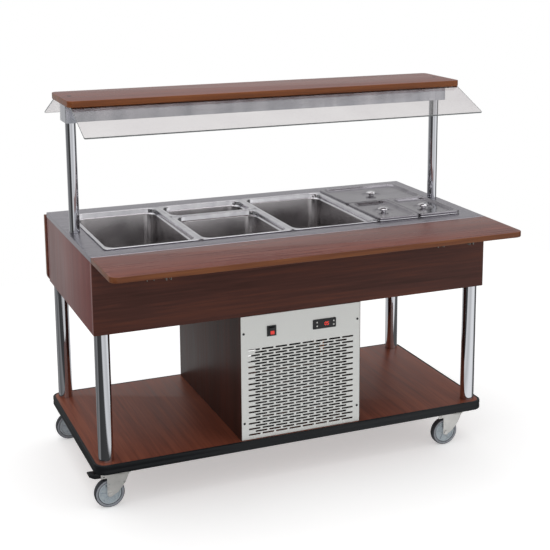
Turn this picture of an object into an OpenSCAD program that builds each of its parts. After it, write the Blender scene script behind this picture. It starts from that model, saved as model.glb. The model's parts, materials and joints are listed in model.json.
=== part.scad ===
// Mobile refrigerated salad bar: a cold well with gastronorm pans in a laminate box,
// on a wheeled base, with a lit canopy, sloping guards and two folding tray shelves.
// Millimetres. X runs along the well, -Y is the customer side with the raised tray shelf,
// +Z is up. The origin is on the floor, under the middle of the whole cart's outline.

/* [Base] */
// How far the base stands out past the box's ends
base_out_x = 10; // [0:1:40]
// How far the base stands out past the box's front and rear
base_out_y = 12; // [6:1:40]
// Thickness of the base board and its bumper
base_t = 32; // [25:0.5:40]
// Corner radius of the base over its bumper
base_r = 40; // [20:1:60]
// Width of the bumper strip
bumper_w = 8; // [4:0.5:12]

/* [Casters] */
// Height of a caster from the floor to its mounting face
caster_h = 133; // [131:0.5:150]
// Wheel diameter
wheel_d = 100; // [80:1:104]
// Wheel width
wheel_w = 26; // [20:1:32]
// Diameter of the wheel's hub, inside the tyre
hub_d = 76; // [60:1:78]
// How far the axle trails behind the swivel axis
trail = 42; // [30:1:46]
// Distance of the swivel axes from the base's ends
caster_in_x = 94; // [80:1:140]
// Distance of the swivel axes from the base's front and rear edges
caster_in_y = 53; // [48:1:90]
// Diameter of the axles
axle_d = 8; // [6:0.5:10]
// Thickness of the fork's steel
fork_t = 2.5; // [2:0.1:3.5]
// Diameter of the ball race
race_d = 58; // [50:1:64]
// Height of the ball race
race_h = 10; // [8:0.5:12]
// Length of the mounting plate
plate_l = 104; // [90:1:110]
// Depth of the mounting plate
plate_w = 80; // [74:1:90]
// Thickness of the mounting plate
plate_t = 3; // [2.5:0.5:4]
// Travel of the brake pedal, in degrees
pedal_travel = 15; // [8:1:20]
// How far the brake pedal's tip stands behind the swivel axis
pedal_reach = 112; // [95:1:114]
// Width of the brake pedal
pedal_w = 27; // [20:1:28]

/* [Legs] */
// Length of the legs, from the base to the box
leg_h = 436; // [400:1:500]
// Diameter of the legs
leg_d = 50; // [40:1:50]
// Wall of the leg tubes
leg_wall = 1.5; // [1:0.1:3]
// Distance of the leg axes from the box's ends
leg_in_x = 34; // [30:1:60]
// Distance of the leg axes from the box's front and rear
leg_in_y = 36; // [32:1:60]

/* [Box] */
// Width of the steel top beside the first and last pans
top_side = 60; // [54:1:90]
// Width of the steel top before and behind the pans, on average
top_front = 76; // [70:1:110]
// Height of the box, from its bottom to the steel top
box_h = 257; // [250:1:300]
// Thickness of the laminated panels
panel_t = 18; // [14:0.5:20]
// Thickness of the steel top
top_t = 1; // [0.8:0.1:1.5]
// Height of the steel top's folded skirt
skirt_h = 17; // [12:0.5:24]

/* [Well] */
// Length of a full pan over its rim, across the cart
pan_full = 530; // [500:1:540]
// Width of a pan column, along the cart
pan_pitch = 325; // [316:1:328]
// How far the middle of the pans lies behind the middle of the box
well_shift = -8; // [-20:1:20]
// Width of a pan's rim
rim_w = 12; // [9:0.5:13]
// Height of a pan's rim above the steel top
rim_h = 4; // [2:0.5:6]
// Depth of the open pans
deep_pan = 150; // [100:1:160]
// Depth of the lidded pans
lid_pan = 100; // [65:1:150]
// Sheet thickness of the pans
pan_wall = 1.2; // [0.8:0.1:2]
// Corner radius of a pan's walls
pan_r = 38; // [20:1:45]
// Corner radius of a pan's rim
rim_r = 14; // [6:1:20]
// Overlap of the pan rims on the edge of the well
well_lap = 10; // [6:0.5:10.5]
// Depth of the well, from the steel top to its floor
well_depth = 200; // [180:1:210]
// Wall of the well's liner
liner_t = 1; // [0.8:0.1:2]
// Width of the bars between the pans
bar_w = 16; // [12:0.5:18]
// Height of the bars between the pans
bar_h = 14; // [10:0.5:18]
// Diameter of the drain hole and its plug
drain_d = 40; // [25:1:50]
// Diameter of the lid knobs
knob_d = 40; // [26:1:44]
// Height of the lid's raised middle
lid_rise = 9; // [5:0.5:14]

/* [Compressor cabinet] */
// Width of the cabinet over its two side boards
cab_w = 442; // [430:1:480]
// How far the slotted panels stay inside the cabinet's sides
grille_in = 2.5; // [0.5:0.5:6]
// Sheet thickness of the slotted panels
grille_t = 1.2; // [1:0.1:2]
// Length of a slot
slot_l = 43; // [30:0.5:46]
// Height of a slot
slot_h = 4; // [3:0.1:6]
// Distance between slots in a row
slot_pitch = 49.3; // [48:0.1:52]
// Distance between whole rows, with a staggered row halfway
row_pitch = 20; // [18:0.5:22]
// Least margin beside and below the slots
slot_edge = 15; // [12:1:30]
// First row below the slotted panel's top edge
first_row = 118; // [105:1:130]
// Distance of the panel screws from the panel's side edges
screw_in = 9.5; // [8:0.5:11]
// Distance of the panel screws from the panel's top and bottom edges
screw_up = 59; // [20:1:90]
// Switch and thermostat middle, below the panel's top edge
control_drop = 59; // [45:1:70]
// Middle of the switch, left of the panel's middle
switch_x = 109.5; // [60:0.5:150]
// Middle of the thermostat, right of the panel's middle
thermo_x = 84.5; // [60:0.5:130]
// Width of the thermostat's bezel
thermo_w = 86; // [70:1:96]
// Height of the thermostat's bezel
thermo_h = 34; // [30:1:40]
// Diameter of the thermostat's buttons
key_d = 6; // [4:0.5:8]
// Press of the thermostat's buttons
key_travel = 0.8; // [0.4:0.1:1.2]

/* [Refrigeration] */
// Diameter of the compressor's pot
pot_d = 168; // [140:1:180]
// Height of the compressor's pot
pot_h = 178; // [150:1:220]
// Length of the condenser
cond_l = 260; // [220:1:300]
// Height of the condenser
cond_h = 240; // [220:1:280]
// Depth of the condenser
cond_w = 50; // [40:1:70]
// Diameter of the fan's blades
fan_d = 200; // [150:1:214]
// Diameter of the refrigerant pipes
pipe_d = 10; // [6:0.5:12]
// How far the evaporator's runs stop short of the well's ends
coil_in = 80; // [40:1:200]
// Distance between the evaporator's runs
coil_pitch = 75; // [50:1:75]

/* [Tray shelves] */
// Depth of a tray shelf
shelf_w = 250; // [245:1:320]
// Thickness of a tray shelf
shelf_t = 19; // [16:0.5:25]
// Radius of a tray shelf's free corners
shelf_r = 28; // [10:1:60]
// Gap between a raised shelf and the steel top's skirt
shelf_gap = 1.5; // [1:0.1:4]
// Distance of the brackets from the box's ends
bracket_in = 185; // [70:1:300]
// How far a fold pin stands out from the steel top's skirt
fold_out = 18; // [16:0.5:24]
// How far a fold pin lies below the raised shelf's underside
fold_drop = 16.5; // [15.5:0.5:22]
// Length of a bracket arm, from its fold pin
arm_l = 203; // [190:1:215]
// Width of a bracket arm
arm_w = 16; // [14:0.5:20]
// Depth of a bracket arm
arm_h = 16; // [15:0.5:16]
// Steel of the brackets
arm_t = 2; // [1.5:0.1:2.5]
// How far the strut's foot pin lies below the fold pin
foot_drop = 50; // [44:1:54]
// How far the strut's foot pin lies behind the fold pin
foot_in = 8; // [5:1:9]
// Length of the strut between its pins
strut_l = 96; // [86:1:110]
// Width of the strut
strut_w = 10; // [8:0.5:11]
// Diameter of the bracket pins
pin_d = 6; // [4:0.5:6]

/* [Canopy] */
// Distance of the posts from the box's ends
post_in = 27; // [22:1:40]
// Diameter of the posts
post_d = 35; // [25:1:40]
// Wall of the posts
post_wall = 1.5; // [1:0.1:3]
// Height of the canopy shelf's underside above the steel top
canopy_h = 440; // [380:1:560]
// How far the canopy shelf stands out past the box's ends
canopy_out = 7; // [0:1:60]
// Depth of the canopy shelf
canopy_w = 265; // [250:1:320]
// Thickness of the canopy shelf
canopy_t = 22; // [18:0.5:30]
// Corner radius of the canopy shelf
canopy_r = 20; // [10:1:40]
// How far the light housing stops short of the canopy shelf's ends
hood_in = 10; // [2:1:14]
// Depth of the light housing
hood_w = 88; // [70:1:110]
// Height of the light housing
hood_h = 63; // [50:1:80]
// Sheet thickness of the light housing
hood_t = 1.2; // [1:0.1:2]
// Diameter of the lamp tube
lamp_d = 26; // [16:1:30]
// How far the lamp tube stops short of the housing's ends
lamp_in = 107; // [60:1:200]

/* [Guards] */
// How far a guard stops short of the canopy shelf's ends
guard_in = 9.5; // [0:0.5:60]
// Thickness of a guard
guard_t = 5; // [4:0.5:8]
// Reach of a guard's lower edge beyond the canopy shelf's edge
guard_reach = 175.5; // [120:0.5:210]
// Drop of a guard's lower edge below the canopy shelf
guard_drop = 70; // [50:1:110]
// Width of a guard's flange under the canopy shelf
flange_w = 40; // [25:1:55]

/* [Clearances] */
// Running clearance between pieces that move on each other
run = 0.3; // [0.2:0.05:0.5]
// Radial clearance of a pin in its hole
pin_fit = 0.1; // [0.05:0.01:0.2]
// Glue line or fitting gap between fixed pieces
fit = 0.2; // [0.1:0.05:0.3]
// Gap between neighbouring pans
pan_gap = 0.6; // [0.4:0.1:1]

/* [Hidden] */
$fn = 48;
eps = 0.01;

laminate = "#6B3A2A";
dark_laminate = "#4A2E28";
edge_laminate = "#8A4A20";
stainless = "#A9A7AD";
chrome_tube = "#9EA2AE";
rubber_black = "#1E2226";
zinc = "#C9C8BC";
panel_grey = "#C6CAC7";
black_plastic = "#17181B";

// Plan sizes, all from the four pan columns and the steel around them
columns = 4;
box_l = columns * pan_pitch + 2 * top_side;
box_w = pan_full + 2 * top_front;
base_l = box_l + 2 * base_out_x;
base_w = box_w + 2 * base_out_y;
caster_x = base_l / 2 - caster_in_x;
caster_y = base_w / 2 - caster_in_y;
leg_x = box_l / 2 - leg_in_x;
leg_y = box_w / 2 - leg_in_y;
post_x = box_l / 2 - post_in;
bracket_x = box_l / 2 - bracket_in;
canopy_l = box_l + 2 * canopy_out;
hood_l = canopy_l - 2 * hood_in;
lamp_l = hood_l - 2 * lamp_in;
guard_l = canopy_l - 2 * guard_in;
guard_out = canopy_w / 2 + guard_reach;

// Heights
deck_z = caster_h + base_t;
box_z = deck_z + leg_h;
top_z = box_z + box_h;
canopy_z = top_z + canopy_h;
hood_z = canopy_z - hood_h;
roof_z = canopy_z + canopy_t;

// Batten of the lamp, in the light housing
batten_w = 40;
batten_h = 20;
holder_w = 12;
holder_d = 30;

// Tray shelves and their fold: the outward distance is measured from the skirt
shelf_z = top_z - shelf_t;
fold_z = shelf_z - fold_drop;
front_reach = box_w / 2 + shelf_gap + shelf_w;
rear_reach = box_w / 2 + fold_out + fold_drop + shelf_t;
shelf_l = box_l;
cart_y = (front_reach - rear_reach) / 2;

// Strut: it turns on a foot pin in the wall plate, and its upper pin slides in the arm's
// slot, from slot_in with the shelf raised to slot_out with it folded
strut_lift = fold_drop - arm_h / 2;
slot_in = -foot_in + sqrt(pow(strut_l, 2) - pow(foot_drop + strut_lift, 2));
slot_out = foot_drop + sqrt(pow(strut_l, 2) - pow(foot_in + strut_lift, 2));
strut_up = atan2(foot_drop + strut_lift, slot_in + foot_in);
strut_down = atan2(foot_drop - slot_out, foot_in + strut_lift);
ear_r = pin_d / 2 + 4;
plate_wide = arm_w + 2 * arm_t + 4;

// Box
skin_x = box_l / 2 - top_t - run;
skin_y = box_w / 2 - top_t - run;
inner_x = skin_x - panel_t;
inner_y = skin_y - panel_t;
cut_l = columns * pan_pitch - 2 * well_lap;
cut_w = pan_full - 2 * (well_lap - 1);
floor_z = top_z - well_depth;
lug = 12;
lug_t = 3;

// Wooden blocks under the steel top that take the posts' studs
block_w = 45;
block_l = 200;
block_h = 60;

// Bolts, screws and the plugs pressed into the tubes
bolt_d = 8;
head_d = 15;
head_h = 6;
plug_h = 25;
bolt_end = plug_h - 3;
sink = 12;
cap_sink = head_h + run;
screw_d = 4;
screw_l = 16;
screw_head = 1.6;

// Pans: the second column holds a two-thirds pan before a third, the last a half behind
// two quarters
near = well_shift - pan_full / 2;
half = pan_full / 2;
third = pan_full / 3;
split_2 = near + pan_full - third;
lid_t = 1.2;
lid_edge = 16;
lid_r = pan_r - 10;
knob_h = 16;
knob_foot = 6;

// Drain, right behind the middle, over the compressor cabinet
drain_x = -cab_w / 2 + panel_t + 38;
drain_y = well_shift + cut_w / 2 - 58;
outlet_h = 70;
outlet_t = 2;
plug_d = drain_d - 2 * outlet_t - 2 * run;
plug_flange = 4;
plug_grip = 16;

// Compressor cabinet
side_in = cab_w / 2 - panel_t;
grille_w = cab_w - 2 * grille_in;
grille_up = 1;
grille_h = leg_h - 2 * grille_up;
grille_z = deck_z + grille_up;
slots = floor((grille_w - 2 * slot_edge + slot_pitch - slot_l) / slot_pitch);
rows = floor((grille_h - first_row - slot_edge) / row_pitch) + 1;
grille_top = grille_z + grille_h;
face_y = box_w / 2;
control_z = grille_top - control_drop;
bezel_t = 3;
bezel_lap = 3;
switch_w = 33;
switch_depth = 25;
rocker_deep = 14;
rocker_pin = 3;
rocker_in = 4;
switch_h = 36;
rocker_w = 20;
rocker_h = 28;
rocker_tilt = 7;
display_x = 8;
display_w = 22;
display_h = 15;
key_x = [-28, 34];
key_z = 6.5;
key_l = 5;
key_in = bezel_t + key_travel + 0.05 - key_l / 2;
case_depth = 60;

// Wiring box on the cabinet's left side, and the cable gland in the rear grille
wiring_w = 55;
wiring_l = 150;
wiring_h = 110;
wiring_t = 2;
wiring_y = -face_y + 175;
wiring_z = control_z - 20;
gland_x = 150;
gland_d = 20;
gland_nut = 28;
gland_l = 30;
cable_d = 9;

// Compressor
pot_x = side_in - pot_d / 2 - 24;
pot_y = face_y - pot_d / 2 - 142;
base_plate_l = pot_d + 22;
base_plate_w = 130;
base_plate_t = 3;
foot_d = 22;
foot_h = 14;
foot_r = 30;
dome_r = 45;
relay_w = 30;
relay_l = 50;

// Condenser, with its fan behind it in a shroud
cond_y = -face_y + 45;
cond_back = cond_y + cond_w;
cond_z = deck_z + cond_h / 2 + 4;
cond_low = 8;
cond_plate = 1.5;
fin_gaps = 12;
fin_gap = 10;
fin_deep = 12;
ring_gap = 3;
ring_t = 1.5;
ring_l = 40;
blade_w = 38;
blade_t = 2;
blade_tilt = 28;
blade_root = 13;
blades = 5;
hub_l = 22;
fan_hub = 46;
motor_d = 70;
motor_l = 50;
motor_arm = 12;
shaft_d = 8;
shaft_l = 50;
fan_y = cond_back + ring_l - motor_arm;
motor_y = cond_back + ring_l + motor_arm / 2;

// Evaporator under the well's floor, its runs centred on the well's depth
coil_x = cut_l / 2 - coil_in;
coil_runs = 4;
coil_z = floor_z - liner_t - pipe_d / 2 - fit;
coil_y0 = well_shift - (coil_runs - 1) / 2 * coil_pitch - 29.5;
coil_end = coil_y0 + (coil_runs - 1) * coil_pitch;
drop_x = pot_x + 5;
line_z = deck_z + cond_h + 30;

// Casters
axle_z = wheel_d / 2;
race_z = caster_h - plate_t - race_h;
crown_z = race_z - fork_t;
fork_gap = wheel_w + 4;
crown_r = 33;
king_d = 12;
tail_x = 72;
pedal_x = 62;
pedal_z = crown_z - 5.5;
pedal_pin = 4;
hub_r = 5;
shoe_r = 3;
shoe_t = 6;
boss_r = 10;
axle_out = 2;
nut_d = 14;
nut_h = 5;
plate_bolt = 8;
plate_head = 12;
plate_bolt_x = plate_l / 2 - 12;
plate_bolt_y = plate_w / 2 - 10;
tyre_lip = 2;
lamp_z = canopy_z - hood_t - batten_h - lamp_d / 2 - 2;

// Sets a piece's colour and stands it on the origin under the middle of the outline
module part(c) {
    color(c) translate([0, cart_y, 0]) children();
}

// Children in both mirror images across the middle of the cart's length
module both_ends() {
    for (i = [0, 1]) mirror([i, 0, 0]) children();
}

// Children in both mirror images across the middle of the cart's depth
module both_sides() {
    for (j = [0, 1]) mirror([0, j, 0]) children();
}

module rounded_rect(l, w, r) {
    square([l - 2 * r, w], center = true);
    square([l, w - 2 * r], center = true);
    for (x = [-1, 1], y = [-1, 1])
        translate([x * (l / 2 - r), y * (w / 2 - r)]) circle(r);
}

module rounded_slab(l, w, h, r) {
    linear_extrude(h) rounded_rect(l, w, r);
}

module box_at(x0, x1, y0, y1, z0, z1) {
    translate([x0, y0, z0]) cube([x1 - x0, y1 - y0, z1 - z0]);
}

// A cylinder along Y, centred on its length
module bar_y(d, l) {
    rotate([90, 0, 0]) cylinder(d = d, h = l, center = true);
}

// A cylinder along X, centred on its length
module bar_x(d, l) {
    rotate([0, 90, 0]) cylinder(d = d, h = l, center = true);
}

// ---- Base ----

module bolt_holes(d, depth) {
    both_ends() both_sides() translate([leg_x, leg_y, deck_z - depth])
        cylinder(d = d, h = depth + eps);
}

module base_board() {
    part(laminate) difference() {
        translate([0, 0, caster_h])
            rounded_slab(base_l - 2 * bumper_w - 2 * fit, base_w - 2 * bumper_w - 2 * fit,
                         base_t, base_r - bumper_w - fit);
        bolt_holes(bolt_d + 2 * pin_fit, base_t + eps);
        both_ends() both_sides() translate([leg_x, leg_y, caster_h - eps])
            cylinder(d = head_d + 1, h = head_h + run);
    }
}

module base_bumper() {
    part(rubber_black) translate([0, 0, caster_h]) difference() {
        rounded_slab(base_l, base_w, base_t, base_r);
        translate([0, 0, -eps])
            rounded_slab(base_l - 2 * bumper_w, base_w - 2 * bumper_w, base_t + 2 * eps,
                         base_r - bumper_w);
    }
}

// ---- Legs and the bolts of the frame ----

module legs() {
    part(chrome_tube) both_ends() both_sides() translate([leg_x, leg_y, deck_z]) difference() {
        cylinder(d = leg_d, h = leg_h);
        translate([0, 0, plug_h])
            cylinder(d = leg_d - 2 * leg_wall, h = leg_h - 2 * plug_h);
        translate([0, 0, -eps]) cylinder(d = bolt_d + 2 * pin_fit, h = leg_h + 2 * eps);
    }
}

// A cap bolt with its head's seat at the origin and its shank along +Z
module cap_bolt(l) {
    translate([0, 0, -head_h]) cylinder(d = head_d, h = head_h);
    cylinder(d = bolt_d, h = l);
}

// Bolts of the legs and posts, and the screws of the two slotted panels
module fasteners() {
    part(zinc) {
        both_ends() both_sides() {
            translate([leg_x, leg_y, caster_h + head_h])
                cap_bolt(base_t - head_h + bolt_end);
            translate([leg_x, leg_y, box_z + sink]) rotate([180, 0, 0])
                cap_bolt(sink + bolt_end);
        }
        both_ends() {
            translate([post_x, 0, roof_z - cap_sink]) rotate([180, 0, 0])
                cap_bolt(canopy_t - cap_sink + hood_t + bolt_end);
            translate([post_x, 0, top_z - block_h / 2])
                cylinder(d = bolt_d, h = block_h / 2 + bolt_end);
        }
        for (s = [0, 180]) rotate([0, 0, s]) translate([0, -face_y, grille_top])
            rotate([90, 0, 0]) screw_places() {
                cylinder(d1 = 2 * screw_d, d2 = screw_d + 1, h = screw_head);
                translate([0, 0, -screw_l]) cylinder(d = screw_d, h = screw_l + eps);
            }
    }
}

// ---- Box ----

module bottom_panel() {
    part(dark_laminate) difference() {
        box_at(-inner_x + fit, inner_x - fit, -inner_y + fit, inner_y - fit,
               box_z, box_z + panel_t);
        both_ends() both_sides() translate([leg_x, leg_y, box_z - eps]) {
            cylinder(d = bolt_d + 2 * pin_fit, h = panel_t + 2 * eps);
            translate([0, 0, sink]) cylinder(d = head_d + 1, h = panel_t);
        }
        pipe_holes(box_z - eps, panel_t + 2 * eps);
        translate([drain_x, drain_y, box_z - eps])
            cylinder(d = drain_d + 2 * outlet_t, h = panel_t + 2 * eps);
    }
}

// Front and rear boards over the ends, the two end boards between them, and the blocks
// under the steel top that hold the posts' studs
module box_panels() {
    part(dark_laminate) {
        both_sides() box_at(-skin_x, skin_x, inner_y, skin_y, box_z, top_z - top_t);
        both_ends() box_at(inner_x, skin_x, -inner_y + fit, inner_y - fit, box_z, top_z - top_t);
        both_ends() difference() {
            box_at(inner_x - fit - block_w, inner_x - fit, -block_l / 2, block_l / 2,
                   top_z - top_t - block_h, top_z - top_t);
            translate([post_x, 0, top_z - block_h / 2 - eps])
                cylinder(d = bolt_d + 2 * pin_fit, h = block_h);
        }
    }
}

module steel_top() {
    part(stainless) difference() {
        translate([0, 0, top_z - skirt_h]) rounded_slab(box_l, box_w, skirt_h, 2);
        box_at(-box_l / 2 + top_t, box_l / 2 - top_t, -box_w / 2 + top_t, box_w / 2 - top_t,
               top_z - skirt_h - eps, top_z - top_t);
        translate([0, well_shift, top_z - skirt_h])
            rounded_slab(cut_l, cut_w, skirt_h + eps, pan_r);
        both_ends() translate([post_x, 0, top_z - top_t - eps])
            cylinder(d = bolt_d + 2 * pin_fit, h = top_t + 2 * eps);
    }
}

// Welded tub under the cut-out, with lugs for the bars and an outlet for the drain
module well_liner() {
    part(stainless) {
        difference() {
            union() {
                translate([0, well_shift, floor_z - liner_t])
                    rounded_slab(cut_l + 2 * liner_t, cut_w + 2 * liner_t,
                                 well_depth - top_t + liner_t, pan_r + liner_t);
                translate([drain_x, drain_y, floor_z - outlet_h])
                    cylinder(d = drain_d, h = outlet_h);
            }
            translate([0, well_shift, floor_z])
                rounded_slab(cut_l, cut_w, well_depth, pan_r);
            translate([drain_x, drain_y, floor_z - outlet_h - eps])
                cylinder(d = drain_d - 2 * outlet_t, h = outlet_h + liner_t);
        }
        for (x = [-1, 0, 1], s = [-1, 1])
            translate([x * pan_pitch, well_shift + s * (cut_w - lug) / 2, top_z - bar_h - lug_t])
                cube_on([bar_w, lug + 2 * fit, lug_t - fit]);
    }
}

// A block centred in plan, standing on z = 0
module cube_on(s) {
    translate([-s[0] / 2, -s[1] / 2, 0]) cube(s);
}

module insulation() {
    part("#E8DFA8") difference() {
        box_at(-inner_x + fit, inner_x - fit, -inner_y + fit, inner_y - fit,
               box_z + panel_t, top_z - top_t);
        translate([0, well_shift, floor_z - liner_t - fit])
            rounded_slab(cut_l + 2 * liner_t + 2 * fit, cut_w + 2 * liner_t + 2 * fit,
                         well_depth + 2, pan_r + liner_t + fit);
        box_at(-coil_x - pipe_d, coil_x + pipe_d, coil_y0 - pipe_d, coil_end + pipe_d,
               coil_z - pipe_d / 2 - 2, floor_z);
        both_ends() box_at(inner_x - 2 * fit - block_w, inner_x, -block_l / 2 - fit,
                           block_l / 2 + fit, top_z - top_t - block_h - fit, top_z);
        pipe_holes(box_z, well_depth);
        translate([drain_x, drain_y, box_z]) cylinder(d = drain_d + 2 * fit, h = box_h);
        both_ends() both_sides() translate([leg_x, leg_y, box_z])
            cylinder(d = head_d + 1, h = panel_t + head_h);
    }
}

// Bars across the well between the pan columns, and the short ones inside a column
module pan_bars() {
    part(stainless) {
        for (x = [-1, 0, 1])
            translate([x * pan_pitch, well_shift, top_z - bar_h])
                cube_on([bar_w, cut_w - 2 * run, bar_h]);
        translate([-pan_pitch / 2, split_2, top_z - bar_h])
            cube_on([pan_pitch - bar_w - 2 * run, bar_w, bar_h]);
        box_at(pan_pitch + bar_w / 2 + run, cut_l / 2 - run, well_shift - bar_w / 2,
               well_shift + bar_w / 2, top_z - bar_h, top_z);
        box_at(1.5 * pan_pitch - bar_w / 2, 1.5 * pan_pitch + bar_w / 2,
               well_shift - cut_w / 2 + run, well_shift - bar_w / 2 - run, top_z - bar_h, top_z);
    }
}

module drain_plug() {
    part(black_plastic) translate([drain_x, drain_y, floor_z]) {
        translate([0, 0, run]) cylinder(d = drain_d + 8, h = plug_flange);
        translate([0, 0, -plug_grip + 2]) cylinder(d = plug_d, h = plug_grip);
        translate([0, 0, plug_flange]) cylinder(d = 14, h = plug_grip);
    }
}

// ---- Compressor cabinet ----

module cabinet_sides() {
    part(dark_laminate) difference() {
        both_ends()
            box_at(side_in, cab_w / 2, -face_y + grille_t, face_y - grille_t, deck_z, box_z);
        for (s = [0, 180]) rotate([0, 0, s]) translate([0, -face_y, grille_top])
            rotate([90, 0, 0]) screw_places() translate([0, 0, -screw_l - 1])
                cylinder(d = screw_d + 2 * pin_fit, h = screw_l + 1);
    }
}

// Slots of a panel, in its own plane with the origin at the middle of its top edge
module slot_field() {
    for (r = [0 : rows - 1], i = [0 : slots - 1])
        translate([(i - (slots - 1) / 2) * slot_pitch, -first_row - r * row_pitch])
            square([slot_l, slot_h], center = true);
    for (r = [0 : rows - 2], i = [0 : slots - 2])
        translate([(i - (slots - 2) / 2) * slot_pitch, -first_row - (r + 0.5) * row_pitch])
            square([slot_l, slot_h], center = true);
}

// Screw places of a panel, in the same plane
module screw_places() {
    for (x = [-1, 1], z = [screw_up, grille_h - screw_up])
        translate([x * (grille_w / 2 - screw_in), -z]) children();
}

// A flat slotted panel whose outer face is at y = 0 and whose top edge is at z = 0
module slotted_panel() {
    rotate([90, 0, 0]) translate([0, 0, -grille_t]) linear_extrude(grille_t) difference() {
        translate([-grille_w / 2, -grille_h]) square([grille_w, grille_h]);
        slot_field();
        screw_places() circle(d = screw_d + 2 * pin_fit);
        children();
    }
}

module service_panel() {
    part(panel_grey) translate([0, -face_y, grille_top]) slotted_panel() {
        translate([-switch_x, -control_drop])
            square([switch_w - 2 * bezel_lap, switch_h - 2 * bezel_lap], center = true);
        translate([thermo_x, -control_drop])
            square([thermo_w - 2 * bezel_lap, thermo_h - 2 * bezel_lap], center = true);
    }
}

module rear_grille() {
    part(panel_grey) {
        translate([0, face_y, grille_top]) rotate([0, 0, 180]) slotted_panel()
            translate([gland_x, -control_drop]) circle(d = gland_d);
        translate([-gland_x, face_y, control_z]) difference() {
            union() {
                bar_y(gland_d - 2 * fit, gland_l);
                translate([0, 2, 0]) bar_y(gland_nut, 4);
                translate([0, -grille_t - 2 - fit, 0]) bar_y(gland_nut, 4);
            }
            bar_y(cable_d, gland_l + 2);
        }
    }
}

// Snap-in frame with a rocker pocket, open at the front
module switch_frame() {
    inset = bezel_lap + fit;
    part(black_plastic) translate([-switch_x, -face_y, control_z]) difference() {
        union() {
            box_at(-switch_w / 2, switch_w / 2, -bezel_t, 0, -switch_h / 2, switch_h / 2);
            box_at(-switch_w / 2 + inset, switch_w / 2 - inset, -eps, switch_depth,
                   -switch_h / 2 + inset, switch_h / 2 - inset);
        }
        box_at(-rocker_w / 2 - run, rocker_w / 2 + run, -bezel_t - 1, rocker_deep,
               -rocker_h / 2 - run, rocker_h / 2 + run);
        translate([0, rocker_in, 0])
            bar_x(rocker_pin + 2 * pin_fit, switch_w - 2 * inset - 2);
    }
}

// Rocker: a shallow V face on a narrow back, which turns on a pin through the frame
module rocker() {
    end = rocker_h / 2 - 1.2;
    face = bezel_t + rocker_in + 2.5;
    part("#C8201C") translate([-switch_x, -face_y + rocker_in, control_z])
        rotate([rocker_tilt, 0, 0]) {
            rotate([90, 0, 90]) linear_extrude(rocker_w, center = true)
                polygon([[5, 6], [5, -6], [-3, -end], [-face, -end], [-face + 2.3, 0],
                         [-face, end], [-3, end]]);
            bar_x(rocker_pin, switch_w - 2 * bezel_lap - 3);
        }
}

module thermostat() {
    inset = bezel_lap + fit;
    part(black_plastic) translate([thermo_x, -face_y, control_z]) {
        difference() {
            union() {
                box_at(-thermo_w / 2, thermo_w / 2, -bezel_t, 0, -thermo_h / 2, thermo_h / 2);
                box_at(-thermo_w / 2 + inset, thermo_w / 2 - inset, -eps, case_depth,
                       -thermo_h / 2 + inset, thermo_h / 2 - inset);
            }
            for (x = key_x, s = [-1, 1]) translate([x, 0, s * key_z])
                bar_y(key_d + 2 * run, 2 * key_l);
            translate([display_x, 0, 0])
                box_at(-display_w / 2, display_w / 2, -bezel_t - 1, -bezel_t + 1,
                       -display_h / 2, display_h / 2);
        }
        translate([display_x, 0, 0])
            box_at(-display_w / 2 + fit, display_w / 2 - fit, -bezel_t + 0.4, -bezel_t + 1,
                   -display_h / 2 + fit, display_h / 2 - fit);
    }
}

// Thermostat buttons, numbered from the top left, down each side
module button(n) {
    side = floor(n / 2);
    up = n % 2 == 0 ? 1 : -1;
    part("#D8D8D4")
        translate([thermo_x + key_x[side], -face_y - key_in, control_z + up * key_z])
            bar_y(key_d, key_l);
}

module button_1() { button(0); }
module button_2() { button(1); }
module button_3() { button(2); }
module button_4() { button(3); }

// Steel box screwed to the cabinet's side, open towards it
module wiring_box() {
    part("#8A8D90") translate([-side_in + wiring_w / 2, wiring_y, wiring_z]) difference() {
        cube([wiring_w, wiring_l, wiring_h], center = true);
        translate([-wiring_t, 0, 0])
            cube([wiring_w, wiring_l - 2 * wiring_t, wiring_h - 2 * wiring_t], center = true);
    }
}

// ---- Refrigeration ----

// Pot with rolled shoulders on a plate with four feet, and its relay box
module compressor() {
    part("#23262A") translate([pot_x, pot_y, deck_z]) {
        translate([0, 0, foot_h]) {
            cube_on([base_plate_l, base_plate_w, base_plate_t]);
            rotate_extrude() intersection() {
                square([pot_d / 2, pot_h]);
                union() {
                    translate([0, foot_r]) square([pot_d / 2, pot_h - foot_r - dome_r]);
                    translate([pot_d / 2 - foot_r, foot_r]) circle(foot_r);
                    square([pot_d / 2 - foot_r, pot_h - dome_r]);
                    square([pot_d / 2 - dome_r, pot_h]);
                    translate([pot_d / 2 - dome_r, pot_h - dome_r]) circle(dome_r);
                }
            }
            translate([-pot_d / 2, 0, pot_h / 2 - relay_l / 2])
                cube_on([relay_w, relay_l, relay_l]);
        }
        for (x = [-1, 1], y = [-1, 1])
            translate([x * (base_plate_l - foot_d) / 2, y * (base_plate_w - foot_d) / 2, 0])
                cylinder(d = foot_d, h = foot_h + eps);
    }
}

// Finned block between two end plates that stand on the base board
module condenser() {
    fin_pitch = cond_l / (fin_gaps + 1);
    part("#B9BCC0") translate([0, cond_y, deck_z]) {
        both_ends() translate([(cond_l - cond_plate) / 2, cond_w / 2, 0])
            cube_on([cond_plate, cond_w, cond_h]);
        difference() {
            box_at(-cond_l / 2 + 1, cond_l / 2 - 1, 0, cond_w, cond_low, cond_h);
            for (i = [1 : fin_gaps])
                translate([-cond_l / 2 + i * fin_pitch, 0, 2 * cond_low])
                    box_at(-fin_gap / 2, fin_gap / 2, -eps, fin_deep, 0, cond_h - 3 * cond_low);
        }
    }
}

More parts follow.
